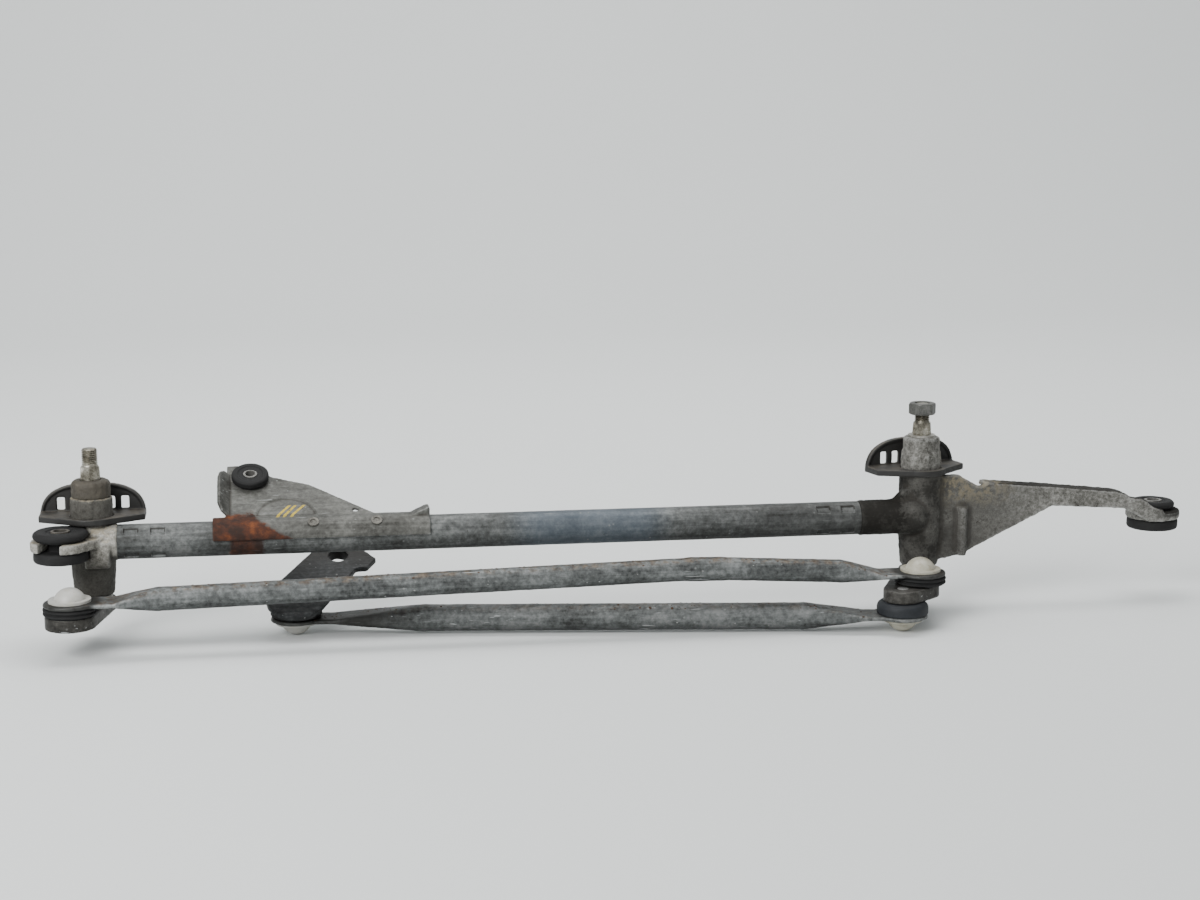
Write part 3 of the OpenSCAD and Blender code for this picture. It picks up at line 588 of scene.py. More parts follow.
def casting(name, base, dark, light, grime, dust, dust_at):
    """Die-cast skin: coarse mottle, bright rubbed edges, painted shade in corners, dark grime and
    settled dust.

    grime and dust_at are functions that return a mask.
    """
    paint = Paint(name, 0.3)
    paint.surface.inputs["Specular IOR Level"].default_value = DULL_METAL_SPECULAR
    broad = paint.cloud(26, 5, 0.62)
    mottle = paint.cloud(2.6, 6, 0.75)
    crumbs = paint.cloud(0.9, 4, 0.7)
    mixed = 0.5 * mottle + 0.3 * broad + 0.2 * crumbs
    colour = paint.ramp(mixed, (0.38, dark), (0.5, base), (0.62, light))
    wear = paint.edges()
    dirt = grime(paint, broad, mottle)
    colour = paint.tint(dirt, colour, CAST_GRIME)
    settled = dust_at(paint) * paint.cloud(5, 5, 0.7).step(0.42, 0.6)
    colour = paint.tint(settled * 0.8, colour, dust)
    bare_and_highlight = wear.step(0.42, 0.9) * mottle.step(0.35, 0.6) * (0.5 - 0.42 * dirt)
    colour = paint.tint(bare_and_highlight, colour, BARE_CAST)
    # Painted shade in corners and creases.
    colour = paint.tint((wear * -1.0).step(0.05, 0.4) * 0.6, colour, CAST_CORNER_SHADE)
    paint.set(base_color=colour, roughness=0.58 + 0.25 * broad + 0.15 * dirt)
    paint.bump(mottle * 0.7 + crumbs * 0.3, 0.3)
    return paint.material


def dull(name, base, worn_and_painted_light, shine=0.62):
    """Perished rubber, or a dry crust: dusty clouds, fine cracks and scuffs."""
    paint = Paint(name, 0.0)
    paint.surface.inputs["Specular IOR Level"].default_value = RUBBER_SPECULAR
    dust = paint.cloud(7, 6, 0.7)
    fine = paint.cloud(0.8, 4, 0.7)
    dusty = tuple(1.5 * c for c in base)
    colour = paint.ramp(0.7 * dust + 0.3 * fine, (0.4, base), (0.6, dusty), (0.74, worn_and_painted_light))
    paint.set(base_color=colour, roughness=shine + 0.25 * dust)
    paint.bump(fine * 0.6 + dust * 0.4, 0.12)
    return paint.material


def plastic(name, base, stain, stain_size, gloss):
    """Moulded plastic, aged: yellowed clouds, specks of soil, fine scuffs."""
    paint = Paint(name, 0.0)
    age = paint.cloud(stain_size, 5, 0.65)
    fine = paint.cloud(0.7, 3, 0.6)
    colour = paint.tint(age.step(0.42, 0.68) * 0.6, base, stain)
    dots = paint.specks(2.2, 0.2) * paint.cloud(6, 3).step(0.5, 0.62)
    colour = paint.tint(dots * 0.6, colour, SOIL)
    paint.set(base_color=colour, roughness=gloss + 0.22 * age)
    paint.bump(fine * 0.5 + age * 0.3, 0.06)
    return paint.material


def steel(name, base, dark, warm, metallic=0.85, roughness=0.36):
    """Zinc-plated steel: turned marks, yellow passivation and dull spots."""
    paint = Paint(name, metallic)
    broad = paint.cloud(8, 5, 0.65)
    fine = paint.cloud(0.9, 4, 0.7)
    colour = paint.ramp(0.6 * broad + 0.4 * fine, (0.38, dark), (0.5, base), (0.66, warm))
    paint.set(base_color=colour, roughness=roughness + 0.3 * broad)
    paint.bump(fine, 0.05)
    return paint.material


def dress(material, *nodes):
    """Gives carried-over CAD nodes a material."""
    for node in nodes:
        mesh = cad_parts[node].data
        mesh.materials.clear()
        mesh.materials.append(material)


# What a user would change


def swatch(name, description, default):
    """Colour that a user may set."""
    return FloatVectorProperty(
        name=name, description=description, subtype="COLOR", default=default, min=0, max=1
    )


class LinkageFinish(bpy.types.PropertyGroup):
    """Colours of the weathered surfaces."""

    zinc: swatch("Zinc", "Grey of the frame tube", (0.084, 0.088, 0.086))
    links: swatch("Links", "Grey of the two links", (0.098, 0.104, 0.102))
    rubber: swatch("Rubber", "Black of grommets and boots", (0.008, 0.008, 0.008))
    domes: swatch("Domes", "Aged white of the ball sockets", (0.40, 0.395, 0.37))
    paint_mark: swatch("Paint mark", "Yellow of the brush strokes", (0.48, 0.35, 0.03))


class LinkageDetail(bpy.types.PropertyGroup):
    """Sizes of the details that the solids leave out."""

    pitch: FloatProperty(
        name="Thread pitch", description="Pitch of the spindle threads", unit="LENGTH",
        default=1.25 * MM, min=0.5 * MM, max=2 * MM,
    )
    depth: FloatProperty(
        name="Thread depth", description="Depth of the spindle threads", unit="LENGTH",
        default=0.7 * MM, min=0.2 * MM, max=1.2 * MM,
    )
    teeth: IntProperty(
        name="Serrations", description="Serrations round each spindle cone",
        default=48, min=24, max=80,
    )
    crimp: FloatProperty(
        name="Crimp depth", description="Depth of the pressed crimps", unit="LENGTH",
        default=1.1 * MM, min=0.2 * MM, max=1.3 * MM,
    )


class LinkageStage(bpy.types.PropertyGroup):
    """Floor, light and camera."""

    floor: swatch("Floor", "Colour of the floor", (0.70, 0.72, 0.715))
    key: FloatProperty(
        name="Key light", description="Power of the soft key light", default=50.0, min=0, max=500
    )
    fill: FloatProperty(
        name="Fill", description="Strength of the even light around", default=0.56, min=0, max=3
    )
    lens: FloatProperty(
        name="Lens", description="Focal length on a 36 mm sensor", default=66.0, min=10, max=300
    )


GROUPS = {
    "linkage_finish": LinkageFinish,
    "linkage_detail": LinkageDetail,
    "linkage_stage": LinkageStage,
}


class LinkageOperator(bpy.types.Operator):
    """Shared by the operators below."""

    bl_options = {"REGISTER"}

    def execute(self, context):
        scene = context.scene
        self.build(scene.linkage_finish, scene.linkage_detail, scene.linkage_stage)
        return {"FINISHED"}


class LINKAGE_OT_stage(LinkageOperator):
    """Pale floor, soft studio light and the camera"""

    bl_idname = "linkage.stage"
    bl_label = "Stage"

    def build(self, finish, detail, stage):
        scene = bpy.context.scene
        paint = Paint("floor", 0.0, 0.72)
        tone = paint.cloud(420, 3, 0.5)
        base = tuple(stage.floor)
        paint.set(base_color=paint.tint(tone * 0.5, base, tuple(0.93 * c for c in base)))
        half, bend, radius, steps = 6.0, 1.5, 1.6, 24
        line = [(-half, 0.0), (bend, 0.0)]
        for k in range(1, steps + 1):
            angle = math.pi / 2 * k / steps
            line.append((bend + radius * math.sin(angle), radius - radius * math.cos(angle)))
        line.append((bend + radius, 2 * half))
        verts = [(x, y, z) for y, z in line for x in (-half, half)]
        faces = [(2 * i, 2 * i + 1, 2 * i + 3, 2 * i + 2) for i in range(len(line) - 1)]
        mesh = mesh_of("floor", verts, faces)
        mesh.shade_smooth()
        mesh.materials.append(paint.material)
        floor = bpy.data.objects.new("floor", mesh)
        scene.collection.objects.link(floor)

        world = bpy.data.worlds.new("studio")
        world.use_nodes = True
        sky = world.node_tree.nodes["Background"]
        sky.inputs["Color"].default_value = (0.93, 0.95, 0.96, 1)
        sky.inputs["Strength"].default_value = stage.fill
        scene.world = world
        for name, place, aim, size, power in (
            ("key", (-1.2, -1.3, 1.15), (0, 0, 0.05), 1.0, stage.key),
            ("top", (0.1, 0.5, 1.7), (0, 0, 0.05), 1.6, 0.3 * stage.key),
            ("wall", (0.2, 0.6, 2.6), (0.2, 3.1, 1.1), 2.4, 1.5 * stage.key),
        ):
            lamp = bpy.data.lights.new(name, "AREA")
            lamp.energy = power
            lamp.size = size
            obj = bpy.data.objects.new(name, lamp)
            obj.location = place
            obj.rotation_euler = (Vector(aim) - Vector(place)).to_track_quat("-Z", "Y").to_euler()
            scene.collection.objects.link(obj)

        camera = bpy.data.cameras.new("camera")
        camera.sensor_fit = "HORIZONTAL"
        camera.sensor_width = 36
        camera.lens = stage.lens
        obj = bpy.data.objects.new("camera", camera)
        obj.location = CAMERA_PLACE
        obj.rotation_euler = (math.radians(90 - CAMERA_DIP), 0, math.radians(CAMERA_TURN))
        scene.collection.objects.link(obj)
        scene.camera = obj


class LINKAGE_OT_frame_tube(LinkageOperator):
    """Frame tube with its pressed crimps"""

    bl_idname = "linkage.frame_tube"
    bl_label = "Frame tube"

    def build(self, finish, detail, stage):
        low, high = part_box("frame_tube")
        axis = middle("frame_tube")
        radius = (high.z - low.z) / 2
        wall, chamfer, ripple = 1.5 * MM, 0.4 * MM, 0.12 * MM
        crimp_len, crimp_w = 9.5 * MM, 6.2 * MM
        edge = 0.9 * MM
        from_end = (8.5 * MM, 25 * MM)
        rows_of_crimps = [low.x + d for d in from_end] + [high.x - d for d in from_end]

        def pressed(x, angle):
            """How far a point lies in a crimp, and whether on its lower side.

            The crimps sit at 45 degrees.
            """
            turn = angle % (math.pi / 2) - math.pi / 4
            across = abs(turn) * radius
            sink = 0.0
            for centre in rows_of_crimps:
                along = abs(x - centre)
                a = min(1, max(0, (crimp_len / 2 - along) / edge))
                b = min(1, max(0, (crimp_w / 2 - across) / edge))
                sink = max(sink, min(a, b))
            lower = turn * math.cos(angle) < 0
            return sink * sink * (3 - 2 * sink), lower

        stations, x = [], low.x
        near, fine_step, coarse_step = 7 * MM, 0.4 * MM, 3 * MM
        while x < high.x:
            stations.append(x)
            away = min(abs(x - c) for c in rows_of_crimps)
            x += fine_step if away < near else coarse_step
        stations.append(high.x)
        segments = 160
        verts, faces, worn_and_painted_light = [], [], []
        rings = [(low.x, radius - wall, False), (low.x, radius - chamfer, False)]
        rings += [(s, radius, True) for s in stations]
        rings += [(high.x, radius - chamfer, False), (high.x, radius - wall, False)]
        for x, r, skin in rings:
            for k in range(segments):
                angle = 2 * math.pi * k / segments
                out, sink, lower = r, 0.0, False
                if skin:
                    sink, lower = pressed(x, angle)
                    out -= detail.crimp * sink
                    spot = Vector((x * 60, math.cos(angle), math.sin(angle)))
                    out += ripple * noise.noise(spot)
                verts.append((x, axis.y + out * math.cos(angle), axis.z + out * math.sin(angle)))
                # Signed edge value of the crimps: a painted highlight on their lower edges, painted
                # shade on their upper edges.
                worn_and_painted_light.append(4 * sink * (1 - sink) * (1.0 if lower else -0.7))
        for i in range(len(rings) - 1):
            for k in range(segments):
                a, b = i * segments, (i + 1) * segments
                after = (k + 1) % segments
                faces.append((a + k, a + after, b + after, b + k))

        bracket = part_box("motor_bracket")[0].x
        rust_from, rust_to, blur = 11.5 * MM, 35 * MM, 2.5 * MM

        def stain(paint, fine, broad):
            """Rust below the bracket's left end, on the front half of the tube."""
            along = paint.x - bracket + 0.004 * fine
            strip = along.step(rust_from, rust_from + blur)
            strip = strip * (1 - along.step(rust_to - blur, rust_to))
            front = 1 - paint.y.step(axis.y - 0.004, axis.y + 0.004)
            return strip * front * (0.75 + 0.25 * broad)

        def shade(paint):
            """Painted shade: darker skin towards the right housing."""
            return 0.45 * paint.x.step(0.02, 0.11)

        material = zinc(
            "tube_zinc",
            base=tuple(finish.zinc), dark=(0.032, 0.033, 0.031), light=(0.175, 0.181, 0.177),
            blue=(-0.09, 0.03, (0.08, 0.105, 0.135)), rust=stain, grime_and_shade=shade,
        )
        mesh = mesh_of("frame_tube_skin", verts, faces)
        if len(mesh.vertices) != len(verts):
            raise RuntimeError("the frame tube lost points")
        mesh.attributes.new("wear", "FLOAT", "POINT").data.foreach_set("value", worn_and_painted_light)
        piece("frame_tube_skin", "frame", mesh, material, ["frame_tube"])


class LINKAGE_OT_castings(LinkageOperator):
    """The two die-cast housings"""

    bl_idname = "linkage.castings"
    bl_label = "Castings"

    def build(self, finish, detail, stage):
        spindle = middle("left_spindle")
        fork_foot, fork_top = (0.055, 0.066), (0.074, 0.079)

        def left_grime(paint, broad, mottle):
            """Dirt on the barrel below the fork, on the boss above it and at the back."""
            barrel = (1 - paint.z.step(*fork_foot)) + 0.6 * paint.z.step(*fork_top)
            back = paint.y.step(spindle.y - 0.019, spindle.y - 0.014)
            return (0.45 * back + 0.65 * barrel).step(0.1, 1.0) * (0.5 + 0.5 * mottle)

        def left_dust(paint):
            """Dust on all that looks up."""
            return paint.up.step(0.3, 0.8) * 0.8

        left = casting(
            "left_cast_skin",
            base=(0.225, 0.217, 0.192), dark=(0.060, 0.055, 0.046), light=(0.42, 0.41, 0.375),
            grime=left_grime, dust=(0.30, 0.255, 0.17), dust_at=left_dust,
        )
        skinned(
            "left_casting", "frame", "left_housing", left,
            voxel=0.7, rounds=5, grain=0.22, grain_size=3.0,
        )

        axis = middle("right_spindle")
        boss_foot, rim_height = (0.088, 0.100), (0.0565, 0.0590)

        def right_grime(paint, broad, mottle):
            """Black on the barrel and its collar, less on the web, the arm's top and the eye."""
            patch = (0.6 * broad + 0.4 * mottle).step(0.43, 0.56)
            barrel = 1 - paint.x.step(axis.x + 0.008, axis.x + 0.026)
            low = 1 - paint.z.step(*boss_foot)
            collar = 1 - paint.x.step(axis.x - 0.022, axis.x - 0.013)
            web = (1 - barrel) * (1 - paint.x.step(axis.x + 0.035, axis.x + 0.095))
            crest = paint.up.step(0.45, 0.8) * paint.x.step(axis.x + 0.04, axis.x + 0.06)
            rim = paint.x.step(axis.x + 0.158, axis.x + 0.172) * paint.z.step(*rim_height)
            return (
                barrel * low * (0.5 + 0.45 * patch) + 0.4 * collar
                + web * (0.3 + 0.4 * patch) + crest * (0.75 + 0.4 * mottle) + 0.8 * rim
            )

        def right_dust(paint):
            """Tan dust on the upper web beside the barrel."""
            near = paint.x.step(axis.x + 0.006, axis.x + 0.02)
            near = near * (1 - paint.x.step(axis.x + 0.04, axis.x + 0.07))
            return near * paint.z.step(0.066, 0.085)

        right = casting(
            "right_cast_skin",
            base=(0.157, 0.153, 0.140), dark=(0.040, 0.038, 0.032), light=(0.335, 0.33, 0.31),
            grime=right_grime, dust=(0.20, 0.172, 0.118), dust_at=right_dust,
        )
        skinned(
            "right_casting", "frame", "right_housing", right,
            voxel=0.95, rounds=5, grain=0.3, grain_size=3.2,
        )
        metal = steel("bush_metal", (0.3, 0.22, 0.12), (0.14, 0.1, 0.06), (0.4, 0.3, 0.18))
        dress(metal, "left_upper_bush", "left_lower_bush", "right_upper_bush", "right_lower_bush")


class LINKAGE_OT_bracket(LinkageOperator):
    """Pressed motor bracket, its rivets and three strokes of yellow paint"""

    bl_idname = "linkage.bracket"
    bl_label = "Motor bracket"

    def build(self, finish, detail, stage):
        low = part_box("motor_bracket")[0]
        rust_top, rust_corner, slope = 0.0795, 0.024, 0.52

        def rust(paint, fine, broad):
            """Rust below a ragged line that falls away from the bracket's left end."""
            along = paint.x - low.x
            ragged = 0.007 * fine + 0.005 * broad - 0.006
            limit = rust_top - slope * (along - rust_corner).math("MAXIMUM", 0.0) + ragged
            return (1 - (paint.z - limit).step(-0.0012, 0.0012)) * (0.85 + 0.15 * broad)

        def mark(paint, fine):
            """Three short strokes of a brush, side by side on the plate."""
            half, mid_height = 0.0011, 0.080
            shape = None
            for x, lean in ((0.0445, 1.7), (0.0485, 1.6), (0.0535, 1.8)):
                along = paint.x - (low.x + x) - lean * (paint.z - mid_height) + 0.001 * fine
                stroke = 1 - (along * along).step(0.6 * half * half, half * half)
                shape = stroke if shape is None else shape.math("MAXIMUM", stroke)
            ends = (paint.z + 0.001 * fine).step(0.0828, 0.0834)
            band = paint.z.step(0.0778, 0.0782) * (1 - ends)
            return shape * band * fine.step(0.36, 0.44)

        material = zinc(
            "bracket_zinc",
            base=(0.076, 0.076, 0.069), dark=(0.032, 0.031, 0.027), light=(0.140, 0.140, 0.129),
            metallic=0.35, rust=rust, mark=(mark, tuple(finish.paint_mark)),
        )
        skinned(
            "bracket_sheet", "frame", "motor_bracket", material,
            voxel=0.55, rounds=4, grain=0.12, grain_size=6.0,
        )
        metal = steel(
            "rivet_steel", (0.13, 0.125, 0.11), (0.05, 0.046, 0.038), (0.24, 0.23, 0.20),
            metallic=0.4, roughness=0.5,
        )
        dress(metal, "bracket_rivets")


class LINKAGE_OT_rubber(LinkageOperator):
    """Grommets, their sleeves, dust boots and the cap on the left boss"""

    bl_idname = "linkage.rubber"
    bl_label = "Rubber"

    def build(self, finish, detail, stage):
        black = dull("perished_rubber", tuple(finish.rubber), (0.04, 0.037, 0.032))
        blue = dull("boot_rubber_grey", (0.012, 0.0135, 0.0158), (0.036, 0.038, 0.041), 0.5)
        cap = dull("cap_rubber", (0.042, 0.037, 0.029), (0.11, 0.098, 0.078), 0.5)

        def wobble(place):
            """Uneven radius of a perished piece."""

            def reach(r, z, angle):
                point = place @ Vector((math.cos(angle), math.sin(angle), z * 90))
                return r + 0.25 * MM * noise.noise(point * 2.3)

            return reach

        def moulded(node, body, place, profile, rounding, skin, way=1):
            """Turned rubber piece in place of a node; way -1 turns its profile over."""
            shape = fillet([(r * MM, way * z * MM) for r, z in profile], rounding * MM)
            verts, faces = turned(shape, place, 96, True, wobble(place))
            piece(node + "_rubber", body, mesh_of(node, verts, faces), skin, [node])

        for node, top_d in (("left_grommet", 34), ("right_grommet", 29)):
            place = upright(node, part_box(node)[0].z)
            profile = [(5.8, 0), (16.2, 0), (17, 1.2), (17, 5.6), (16, 7), (8, 7), (8, 13),
                       (top_d / 2 - 2.6, 13), (top_d / 2, 15.4), (top_d / 2, 17.4),
                       (top_d / 2 - 1.6, 19), (9, 19), (8.4, 18.2), (5.8, 18.2)]
            moulded(node, "frame", place, profile, 0.9, black)
        place = tilted("bracket_grommet", 25)
        profile = [(4.5, -5.85), (9, -5.85), (9, -1.35), (6.5, -1.35), (6.5, 0.85), (11.2, 0.85),
                   (12, 1.8), (12, 4.9), (10.8, 5.85), (8.2, 5.85), (7.8, 5.3), (4.5, 5.3)]
        moulded("bracket_grommet", "frame", place, profile, 0.8, black)
        metal = steel(
            "sleeve_steel", (0.15, 0.147, 0.138), (0.05, 0.048, 0.044), (0.27, 0.265, 0.25),
            metallic=0.6, roughness=0.42,
        )
        dress(metal, "right_sleeve", "bracket_sleeve")
        metal = steel(
            "sleeve_grime", (0.06, 0.055, 0.048), (0.025, 0.022, 0.018), (0.13, 0.12, 0.10),
            metallic=0.3, roughness=0.6,
        )
        dress(metal, "left_sleeve")

        folded = [(10.6, 0), (15.4, 0), (16.5, 0.9), (16.5, 1.7), (15.4, 2.3), (15.4, 2.8),
                  (16.5, 3.4), (16.5, 4.2), (15.4, 5.2), (5.1, 5.2), (5.1, 3.6), (10.6, 3.6)]
        drum = [(10.6, 0), (16.0, 0), (16.5, 0.9), (16.5, 4.6), (15.9, 6.6), (14.2, 8), (4.4, 8),
                (4.4, 6.4), (10.6, 6.4)]
        for node, body, way, skin, profile in (
            ("tandem_left_boot", "tandem_link", -1, black, folded),
            ("tandem_right_boot", "tandem_link", -1, black, folded),
            ("drive_rocker_boot", "drive_link", 1, blue, drum),
        ):
            low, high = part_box(node)
            place = upright(node, high.z if way < 0 else low.z)
            moulded(node, body, place, profile, 0.8, skin, way)
        skinned(
            "drive_crank_boot_rubber", "drive_link", "drive_crank_boot", black,
            voxel=0.5, rounds=8, grain=0.3, grain_size=5.0,
        )
        skinned(
            "left_dust_cap_rubber", "frame", "left_dust_cap", cap,
            voxel=0.4, rounds=8, grain=0.35, grain_size=3.5,
        )


class LINKAGE_OT_shields(LinkageOperator):
    """Half-moon plastic shields"""

    bl_idname = "linkage.shields"
    bl_label = "Shields"

    def build(self, finish, detail, stage):
        paint = Paint("shield_plastic", 0.0)
        dust = paint.cloud(9, 6, 0.7)
        fine = paint.cloud(0.9, 4, 0.7)
        flat = paint.up.step(0.2, 0.85)
        black, dusty, worn_and_painted_light = (0.009, 0.0085, 0.0075), (0.06, 0.052, 0.04), (0.06, 0.056, 0.05)
        colour = paint.tint((flat * dust.step(0.35, 0.6)) * 0.75, black, dusty)
        colour = paint.tint(paint.edges().step(0.35, 0.8) * 0.4, colour, worn_and_painted_light)
        paint.set(base_color=colour, roughness=0.42 + 0.4 * dust)
        paint.bump(fine * 0.5 + dust * 0.5, 0.1)
        for side in ("left", "right"):
            name, node = side + "_shield_moulding", side + "_shield"
            skinned(
                name, "frame", node, paint.material,
                voxel=0.5, rounds=3, grain=0.08, grain_size=4.0,
            )


class LINKAGE_OT_spindles(LinkageOperator):
    """Spindles with cut threads and serrated cones, rings and nut"""

    bl_idname = "linkage.spindles"
    bl_label = "Spindles"

    def build(self, finish, detail, stage):
        bright = steel(
            "spindle_steel", (0.23, 0.215, 0.175), (0.06, 0.053, 0.04), (0.52, 0.505, 0.455),
            metallic=0.9, roughness=0.26,
        )
        cone_len = 8.2 * MM
        shaft_r, cone_top_r, thread_r = 6 * MM, 5.45 * MM, 5 * MM
        for side, thread in (("left", 11.5), ("right", 12.5)):
            node = side + "_spindle"
            low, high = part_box(node)
            place = upright(node)
            tip = high.z
            cone_top = tip - thread * MM + 0.2 * MM
            cone_low = cone_top - cone_len
            foot = low.z
            profile = [(0.0, foot), (thread_r, foot), (shaft_r, foot + 1 * MM), (shaft_r, cone_low)]
            profile += [(cone_top_r, cone_top), (thread_r, cone_top + 0.15 * MM)]
            z = cone_top + 0.3 * MM
            while z < tip - 0.05 * MM:
                profile.append((thread_r, z))
                z += detail.pitch / 10
            profile += [(4.0 * MM, tip), (0.0, tip)]

            def cut(r, z, angle, start=cone_top, end=tip):
                """Radius of a point on the cut thread, whose last millimetre is bevelled."""
                if z < start + 0.2 * MM or r < 4.5 * MM:
                    return r
                wave = ((z - start) / detail.pitch - angle / (2 * math.pi)) % 1.0
                depth = abs(2 * wave - 1)
                fade = min(1.0, (z - start) / (1.5 * detail.pitch))
                out = r - detail.depth * fade * max(0.0, min(1.0, 1.25 * depth - 0.12))
                return min(out, r - 1.0 * MM * max(0.0, (z - (end - 1.0 * MM)) / (1.0 * MM)))

            verts, faces = turned(profile, place, 72, False, cut)
            mesh = mesh_of(node, verts, faces)
            piece(node + "_turned", side + "_rocker", mesh, bright, [node], sharp=50)

            tree = Tree(side + " cone serrations")
            tree.size("Teeth", detail.teeth, "NodeSocketInt")
            tree.size("Radius", 5.55 * MM)
            tree.size("Length", 7.2 * MM)
            tree.size("Ridge", 0.42 * MM)
            tree.size("Material", bright, "NodeSocketMaterial")
            inputs = tree.open()
            ring = tree.add("GeometryNodeMeshCircle", {"fill_type": "NONE"},
                            {"Vertices": inputs["Teeth"], "Radius": inputs["Radius"]})
            ridge = tree.add("GeometryNodeMeshCylinder", None,
                             {"Vertices": 4, "Radius": inputs["Ridge"], "Depth": inputs["Length"]})
            index = tree.add("GeometryNodeInputIndex")
            turn = tree.add("ShaderNodeMath", {"operation": "MULTIPLY"},
                            {0: index.outputs[0], 1: 2 * math.pi / detail.teeth})
            slope = math.atan((shaft_r - cone_top_r) / cone_len)
            lean = tree.add("ShaderNodeCombineXYZ", None, {"Y": -slope, "Z": turn.outputs[0]})
            teeth = tree.add("GeometryNodeInstanceOnPoints", None,
                             {"Points": ring.outputs[0], "Instance": ridge.outputs[0],
                              "Rotation": lean.outputs[0]})
            centre = middle(node)
            moved = tree.add("GeometryNodeTransform", None, {
                "Geometry": teeth.outputs[0],
                "Translation": (centre.x, centre.y, (cone_low + cone_top) / 2)})
            tree.close(moved.outputs[0], inputs["Material"])
            mesh = tree.run(side + "_serrations", bpy.data.meshes.new(side + "_cone"))
            piece(side + "_serrations", side + "_rocker", mesh, bright)
        metal = steel(
            "nut_zinc", (0.082, 0.082, 0.076), (0.035, 0.035, 0.031), (0.16, 0.16, 0.149),
            metallic=0.5, roughness=0.4,
        )
        dress(metal, "right_nut")
        metal = steel(
            "ring_steel", (0.34, 0.33, 0.3), (0.15, 0.14, 0.12), (0.5, 0.49, 0.45),
            metallic=0.7, roughness=0.4,
        )
        dress(metal, "left_ring", "right_ring", "left_washer", "right_washer")


class LINKAGE_OT_rockers(LinkageOperator):
    """Rocker levers and ball studs"""

    bl_idname = "linkage.rockers"
    bl_label = "Rockers"

    def build(self, finish, detail, stage):
        material = zinc(
            "lever_zinc",
            base=(0.037, 0.035, 0.031), dark=(0.013, 0.012, 0.0105), light=(0.085, 0.081, 0.074),
        )
        for side in ("left", "right"):
            name, node = side + "_lever_plate", side + "_lever"
            skinned(
                name, side + "_rocker", node, material,
                voxel=0.5, rounds=5, grain=0.12, grain_size=4.0,
            )
        metal = steel("ball_steel", (0.42, 0.42, 0.41), (0.22, 0.22, 0.2), (0.58, 0.58, 0.56))
        for node in ("left", "right_upper", "right_lower", "crank"):
            dress(metal, node + "_ball_stud")


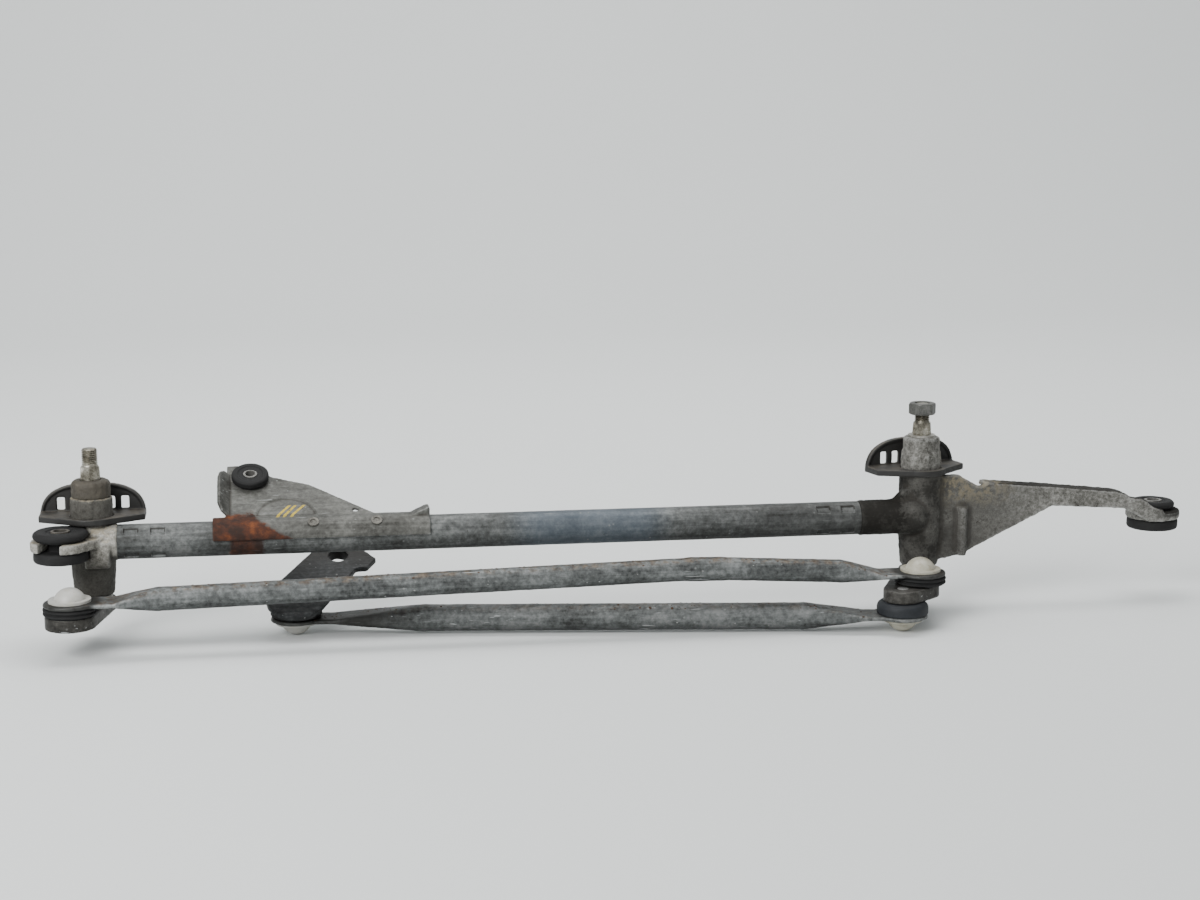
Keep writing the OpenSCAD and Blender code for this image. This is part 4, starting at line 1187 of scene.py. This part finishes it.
class LINKAGE_OT_links(LinkageOperator):
    """Pressed link tubes and their ball sockets"""

    bl_idname = "linkage.links"
    bl_label = "Links"

    def build(self, finish, detail, stage):
        eye = 16.8 * MM
        ends = [middle(n) for n in ("tandem_left_socket", "tandem_right_socket")]
        crank_end = middle("drive_crank_socket")

        def tandem_soot(paint):
            """Grime on the flat eyes of the tandem link."""
            mask = None
            for end in ends:
                dx, dy = paint.x - end.x, paint.y - end.y
                here = 1 - (dx * dx + dy * dy).step(0.9 * eye * eye, 1.7 * eye * eye)
                mask = here if mask is None else mask.math("MAXIMUM", here)
            return 0.95 * mask

        def drive_soot(paint):
            """Grime on the drive link's neck at the crank, and thinner at its other end."""
            along = paint.x - crank_end.x
            return 0.9 * (1 - along.step(0.040, 0.085)) + 0.35 * along.step(0.345, 0.375)

        tandem = zinc(
            "tandem_zinc",
            base=tuple(finish.links), dark=(0.034, 0.0355, 0.035), light=(0.205, 0.214, 0.213),
            top_rust=0.7, grime_and_shade=tandem_soot,
        )
        drive = zinc(
            "drive_zinc", base=tuple(0.95 * c for c in finish.links),
            dark=(0.03, 0.031, 0.0295), light=(0.175, 0.18, 0.178),
            top_rust=0.3, grime_and_shade=drive_soot,
        )
        crust = dull("rust_crust", (0.045, 0.026, 0.016), (0.17, 0.10, 0.055), 0.75)
        bloom = dull("zinc_bloom", (0.16, 0.165, 0.16), (0.36, 0.37, 0.36), 0.75)
        for name, body, skin in (("tandem", "tandem_link", tandem), ("drive", "drive_link", drive)):
            mesh = softened(
                name + "_tube", name + "_rod",
                voxel=0.75, rounds=9, grain=0.14, grain_size=9.0, hollow=True,
            )
            scabs(
                name + "_rust_crumbs", body, mesh, crust,
                density=60000.0, size=0.9, seed=3, facing=0.72,
            )
            scabs(
                name + "_oxide_crumbs", body, mesh, bloom,
                density=9000.0, size=0.7, seed=8, facing=-0.9,
            )
            piece(name + "_tube", body, mesh, skin, [name + "_rod"], sharp=60)
        white = plastic("aged_white", tuple(finish.domes), (0.34, 0.325, 0.275), 7, 0.32)
        ivory = plastic("aged_ivory", (0.37, 0.355, 0.29), (0.23, 0.205, 0.14), 5, 0.34)
        dress(white, "tandem_left_socket", "drive_crank_socket")
        dress(ivory, "tandem_right_socket", "drive_rocker_socket")


class LINKAGE_OT_crank(LinkageOperator):
    """Loose motor crank"""

    bl_idname = "linkage.crank"
    bl_label = "Motor crank"

    def build(self, finish, detail, stage):
        ball = middle("drive_crank_socket")

        def hub_darkening(paint):
            """Darker round the hub, towards the back of the plate."""
            return 0.9 * (paint.y - ball.y).step(0.018, 0.034)

        material = zinc(
            "crank_zinc",
            base=(0.027, 0.0285, 0.029), dark=(0.009, 0.0095, 0.0095), light=(0.08, 0.084, 0.085),
            metallic=0.4, grime_and_shade=hub_darkening,
        )
        skinned(
            "crank_plate", "crank", "crank_arm", material,
            voxel=0.5, rounds=5, grain=0.12, grain_size=4.0,
        )


class LINKAGE_PT_panel(bpy.types.Panel):
    """Lists the pieces and their values"""

    bl_idname = "LINKAGE_PT_panel"
    bl_label = "Wiper linkage"
    bl_space_type = "VIEW_3D"
    bl_region_type = "UI"
    bl_category = "Linkage"

    def draw(self, context):
        layout = self.layout
        for group in GROUPS:
            box = layout.box()
            values = getattr(context.scene, group)
            for name in GROUPS[group].__annotations__:
                box.prop(values, name)
        for operator in OPERATORS:
            layout.operator(operator.bl_idname)


OPERATORS = (
    LINKAGE_OT_stage,
    LINKAGE_OT_frame_tube,
    LINKAGE_OT_castings,
    LINKAGE_OT_bracket,
    LINKAGE_OT_rubber,
    LINKAGE_OT_shields,
    LINKAGE_OT_spindles,
    LINKAGE_OT_rockers,
    LINKAGE_OT_links,
    LINKAGE_OT_crank,
)
CLASSES = (*GROUPS.values(), *OPERATORS, LINKAGE_PT_panel)


def register():
    for cls in CLASSES:
        bpy.utils.register_class(cls)
    for name, cls in GROUPS.items():
        setattr(bpy.types.Scene, name, PointerProperty(type=cls))


def unregister():
    for name in GROUPS:
        delattr(bpy.types.Scene, name)
    for cls in reversed(CLASSES):
        bpy.utils.unregister_class(cls)


def main():
    register()
    for operator in OPERATORS:
        group, name = operator.bl_idname.split(".")
        getattr(getattr(bpy.ops, group), name)()


if __name__ == "__main__":
    main()
